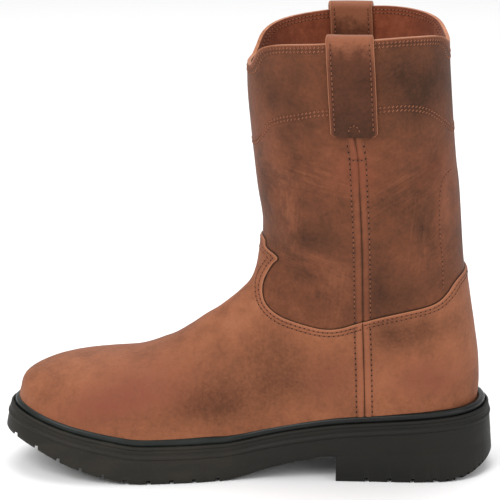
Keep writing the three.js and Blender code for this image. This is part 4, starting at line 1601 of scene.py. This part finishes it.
def feed(made, **signals):
    shader = made.node_tree.nodes["Principled BSDF"]
    for key, signal in signals.items():
        made.node_tree.links.new(signal.socket, shader.inputs[key.replace("_", " ").title()])
    print(made.name, "has", len(made.node_tree.nodes), "nodes")


def attribute(signal, name):
    return signal.node("ShaderNodeAttribute", {"attribute_name": name}, output="Fac")


def noise(place, size, detail=3.0, roughness=0.55, distortion=0.0):
    """Cloudy noise around zero, with features of about a size in millimetres."""
    inputs = {"Vector": place, "Scale": 1000 / size, "Detail": detail, "Roughness": roughness}
    inputs["Distortion"] = distortion
    return place.node("ShaderNodeTexNoise", {}, inputs) - 0.5


def rising(value, low, high):
    """Goes smoothly from 0 to 1 as the value goes from low to high."""
    inputs = {"Value": value, "From Min": low, "From Max": high}
    return value.node("ShaderNodeMapRange", {"interpolation_type": "SMOOTHSTEP"}, inputs)


def blended(share, one, other):
    inputs = {0: share, 6: one, 7: other}
    return share.node("ShaderNodeMix", {"data_type": "RGBA", "clamp_factor": True}, inputs, 2)


def toned(tone, *colours):
    """A ramp of colours over a tone from 0 to 1."""
    stops = [(n / (len(colours) - 1), colour) for n, colour in enumerate(colours)]
    return tone.node("ShaderNodeValToRGB", {"stops": stops}, {"Fac": tone})


def raised(height, rise, under=None):
    """A bump whose height, in parts of a rise in millimetres, lies over another bump."""
    inputs = {"Height": height, "Distance": rise * MM}
    if under:
        inputs["Normal"] = under
    return height.node("ShaderNodeBump", {}, inputs)


def drawn_out(place, lean, along, across):
    """Coordinates in which noise becomes streaks that lean from level, in degrees, in the side view."""
    settings = {"vector_type": "TEXTURE"}
    inputs = {"Vector": place, "Rotation": (0, -math.radians(lean), 0), "Scale": (along, 2, across)}
    return place.node("ShaderNodeMapping", settings, inputs)


# %% [markdown]
# ## Oiled nubuck
# The leather is dyed through, oiled and buffed. It is matt, with a nap too fine to see, pale where it is
# stretched or rubbed and dark where the oil gathered. One tone from dark to pale adds up clouds, blotches,
# speckle, folds, placed patches and the fine pale lines of old creases, and a ramp turns it into colour. The
# folds add painted shade in the wrinkles' troughs and a painted highlight on their ridges, and the placed
# patches hold painted shade under the waist. The turned edges along a seam are rubbed paler, the seam's
# groove is darkened as painted shade, and the shaft just beyond the vamp and counter carries a painted
# shadow.


# %% Leather
def leather(name, deep, middle, pale, warm, cut):
    made, signal, place = start_finish(name, specular_ior_level=0.15, sheen_weight=0.03, sheen_roughness=0.6)
    clouds = noise(place, 34, 3)
    blotches = noise(place, 9, 4, 0.62, 0.4)
    speckle = noise(place, 2.2, 3, 0.65)
    nap = noise(place, 0.5, 2, 0.6)
    streaks = 0
    for kind, lean in (("falling", -13), ("climbing", 31), ("upright", 84)):
        wandering = noise(drawn_out(place, lean, 7, 0.55), 3.2, 2, 0.5, 0.25)
        line = rising(wandering, 0.02, 0.16) - 0.6 * rising(0 - wandering, 0.03, 0.2)
        streaks = attribute(signal, kind) * line + streaks
    edge, seam = attribute(signal, "edge"), attribute(signal, "seam")
    overlap = attribute(signal, "overlap")
    rubbed = rising(seam, 0.7, 1.3) * (1 - rising(seam, 2.6, 4.4)) + (1 - rising(edge, 1.2, 2.4))
    # Painted shade: darker in the seam's groove and where the vamp and counter meet at the side seam, and a
    # painted shadow on the shaft just beyond the edge of the vamp and counter.
    painted_shade = (1 - rising(seam, 0.1, 0.4)) * 0.6 + (1 - rising(overlap, 0.1, 1.1)) * 0.5
    tone = 0.5 + 0.85 * clouds + 0.75 * blotches + 0.5 * speckle + 0.25 * nap
    # The tone attribute carries the placed patches, among them the painted shade under the waist.
    tone = tone + attribute(signal, "tone") * (0.55 + 1.4 * blotches) + 0.2 * streaks
    # The fold term paints shade into the wrinkles' troughs and a highlight onto their ridges.
    tone = tone + 0.22 * attribute(signal, "fold") + 0.28 * rubbed - 1.1 * painted_shade
    colour = toned(tone, deep, middle, pale)
    warmth = attribute(signal, "warmth") * (1 + 2 * blotches) + 0.25 * rubbed
    colour = blended(warmth, colour, warm)
    colour = blended(1 - rising(edge, 0.2, 0.75), colour, cut)
    rise = raised(nap, 0.07, raised(speckle + 0.35 * streaks, 0.16, raised(blotches, 0.5)))
    feed(made, base_color=colour, roughness=0.74 + 0.25 * blotches - 0.15 * tone, normal=rise)
    return made


pale_cut = shown(150, 98, 70)
leather_vamp = leather(
    "vamp_leather", shown(84, 48, 29), shown(128, 77, 51), shown(149, 93, 64), shown(118, 64, 46), pale_cut
)
leather_shaft = leather(
    "shaft_leather", shown(57, 32, 17), shown(96, 54, 33), shown(122, 71, 47), shown(110, 57, 36), pale_cut
)
leather_strap = leather(
    "strap_leather", shown(50, 28, 15), shown(86, 47, 29), shown(128, 77, 53), shown(104, 54, 35), pale_cut
)

# %% [markdown]
# ## Flesh side and cut edges
# Inside, the leather shows its flesh side, a reddish suede with a fuzzy nap. A cut edge is pale and shows
# the hide's fibres as fine layers.


# %% Suede and cut edges
def suede(name, deep, middle, pale, layers=0.0):
    made, signal, place = start_finish(name, specular_ior_level=0.1, sheen_weight=0.15, sheen_roughness=0.5)
    clouds = noise(place, 22, 3)
    fuzz = noise(place, 1.3, 4, 0.7, 0.6)
    mottle = noise(place, 5, 3, 0.6)
    fibres = noise(drawn_out(place, 0, 6, 0.35), 1.5, 2)
    tone = 0.5 + 0.8 * clouds + 0.7 * mottle + 0.7 * fuzz + layers * fibres
    rise = raised(fuzz + layers * fibres, 0.3)
    feed(made, base_color=toned(tone, deep, middle, pale), roughness=0.9 + 0.15 * mottle, normal=rise)
    return made


leather_flesh = suede("flesh_side", shown(86, 40, 24), shown(120, 61, 39), shown(150, 84, 58))
leather_cut = suede("cut_edge", shown(118, 70, 46), shown(158, 104, 76), shown(180, 128, 98), 0.8)

# %% [markdown]
# ## Rubber
# The sole is moulded rubber, dark with a greenish cast, and matt from the mould's fine texture, with a
# little dust that turns some of it greyer. The welt is the same rubber with a smoother, glossier skin.


# %% Rubber
def moulded(name, deep, middle, dusty, gloss, grain_rise):
    made, signal, place = start_finish(name, specular_ior_level=0.25)
    forwards = place.node("ShaderNodeSeparateXYZ", {}, {"Vector": place}, "X")
    clouds = noise(place, 30, 3)
    smears = noise(drawn_out(place, 4, 5, 1), 6, 4, 0.6, 0.3)
    grain = noise(place, 0.7, 2, 0.6)
    specks = rising(noise(place, 1.6, 2), 0.17, 0.24)
    tone = 0.55 + 0.7 * clouds + 0.8 * smears + 0.5 * grain + 0.25 * specks
    # The rubber is darker towards the heel.
    tone = tone - 0.45 * rising(forwards, -0.16, -0.03)
    rough = gloss + 0.35 * smears + 0.2 * clouds
    rise = raised(grain, grain_rise, raised(smears, 0.12))
    feed(made, base_color=toned(tone, deep, middle, dusty), roughness=rough, normal=rise)
    return made


rubber = moulded("sole_rubber", shown(10, 9, 5), shown(26, 23, 17), shown(44, 40, 33), 0.62, 0.1)
rubber_bead = moulded("welt_rubber", shown(12, 14, 12), shown(22, 26, 23), shown(36, 42, 38), 0.36, 0.04)

# %% [markdown]
# ## Thread and needle holes
# The thread is waxed and twisted from a few plies, tan with darker stretches where oil soaked in. The
# needle holes are pits in the leather, painted dark as painted shade.


# %% Thread and holes
def waxed(name, deep, middle, pale, gloss):
    made, signal, place = start_finish(name, specular_ior_level=0.3)
    soaked = noise(place, 16, 3, 0.6)
    plies = noise(drawn_out(place, 45, 2.2, 0.5), 0.7, 2)
    tone = 0.5 + 1.1 * soaked + 0.8 * plies
    colour = toned(tone, deep, middle, pale)
    feed(made, base_color=colour, roughness=gloss + 0.2 * plies, normal=raised(plies, 0.15))
    return made


thread_finish = waxed("collar_thread", shown(88, 49, 31), shown(132, 80, 55), shown(160, 105, 77), 0.6)
seam_thread_finish = waxed("seam_thread", shown(74, 40, 26), shown(112, 65, 43), shown(142, 88, 61), 0.6)
# The needle holes' finish is painted shade in their pits.
hole_shade_finish = waxed("needle_hole_shade", shown(20, 10, 6), shown(34, 17, 11), shown(52, 27, 18), 0.9)


# %% Finishes on the pieces
def finish_with(thing, *finishes):
    thing.data.materials.clear()
    for finish in finishes:
        thing.data.materials.append(finish)


panel_gap = 0.05
finish_with(upper_shell, leather_shaft, leather_flesh, leather_cut)
thicken(upper_shell, wall)
for panel in (vamp_panel, counter_panel):
    finish_with(panel, leather_vamp, leather_vamp, leather_cut)
    thicken(panel, overlay - panel_gap)
for strap in (strap_medial, strap_lateral):
    finish_with(strap, leather_strap)
for part in (midsole_wall, tread_sole, heel_block):
    finish_with(part, rubber)
finish_with(welt_bead, rubber_bead)
finish_with(nodes["insole"], leather_flesh)
finish_with(collar_thread, thread_finish)
finish_with(upper_thread, seam_thread_finish)
finish_with(strap_thread, seam_thread_finish)
for holes in (collar_holes, upper_holes, strap_holes):
    finish_with(holes, hole_shade_finish)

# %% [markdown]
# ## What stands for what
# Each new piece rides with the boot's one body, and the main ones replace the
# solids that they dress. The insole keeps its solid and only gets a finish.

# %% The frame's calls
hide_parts("upper")
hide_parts("welt")
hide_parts("midsole")
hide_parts("outsole")
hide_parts("heel")
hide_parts("pull_strap_medial")
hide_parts("pull_strap_lateral")
upper_sewing = (collar_thread, collar_holes, upper_thread, upper_holes)
slots = {
    "upper_leather": (upper_shell, vamp_panel, counter_panel, *upper_sewing),
    "strap_leather": (strap_medial, strap_lateral, strap_thread, strap_holes),
    "welt_rubber": (welt_bead,),
    "midsole_rubber": (midsole_wall,),
    "tread_rubber": (tread_sole, heel_block),
}
for slot, pieces in slots.items():
    for piece in pieces:
        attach(piece, "root")
print("dressed pieces:", sum(len(pieces) for pieces in slots.values()))

# %% [markdown]
# ## Camera
# The photograph was taken from the medial side with a long lens, a little from above and hardly turned.

# %% Camera
def camera_at(azimuth, elevation, distance, target, focal_pixels):
    a, e = math.radians(azimuth), math.radians(elevation)
    back = Vector((math.sin(a) * math.cos(e), -math.cos(a) * math.cos(e), math.sin(e)))
    view = bpy.data.cameras.new("photo_camera")
    view.sensor_width = 36
    view.lens = focal_pixels * 36 / 500
    view.clip_end = 20
    held = bpy.data.objects.new("photo_camera", view)
    bpy.context.scene.collection.objects.link(held)
    held.location = Vector(target) * MM + back * distance * MM
    held.rotation_euler = back.to_track_quat("Z", "Y").to_euler()
    bpy.context.scene.camera = held


camera_at(2.5, 16, 1650, (-103.5, 0, 136.6), 2674)

# %% [markdown]
# ## Studio
# The boot stands on a white floor that the light burns out to pure white, apart from the soft shadows under
# the toe and the arch. Large softboxes light it from the front left, the right and above.

# %% Floor and lights
studio_white = bpy.data.materials.new("studio_floor")
studio_white.use_nodes = True
studio_white.node_tree.nodes["Principled BSDF"].inputs["Base Color"].default_value = (0.9, 0.9, 0.9, 1)
studio_white.node_tree.nodes["Principled BSDF"].inputs["Roughness"].default_value = 0.6
bpy.ops.mesh.primitive_plane_add(size=6, location=(0, 0, 0))
floor = bpy.context.object
floor.name = "floor"
finish_with(floor, studio_white)


def softbox(name, place, size, power):
    light = bpy.data.lights.new(name, "AREA")
    light.shape = "RECTANGLE"
    light.size, light.size_y = size
    light.energy = power
    held = bpy.data.objects.new(name, light)
    bpy.context.scene.collection.objects.link(held)
    held.location = place
    aim = Vector((-0.1, 0, 0.12)) - Vector(place)
    held.rotation_euler = aim.to_track_quat("-Z", "Y").to_euler()


softbox("key", (-0.9, -1.3, 1.5), (1.2, 1.2), 26)
softbox("fill", (1.2, -1.2, 0.7), (1.2, 1.0), 9)
softbox("top", (-0.1, 0.5, 1.6), (1.5, 1.2), 16)
world = bpy.data.worlds.new("studio")
world.use_nodes = True
world.node_tree.nodes["Background"].inputs["Color"].default_value = (1, 1, 1, 1)
world.node_tree.nodes["Background"].inputs["Strength"].default_value = 0.75
bpy.context.scene.world = world
bpy.context.scene.view_settings.view_transform = "Standard"
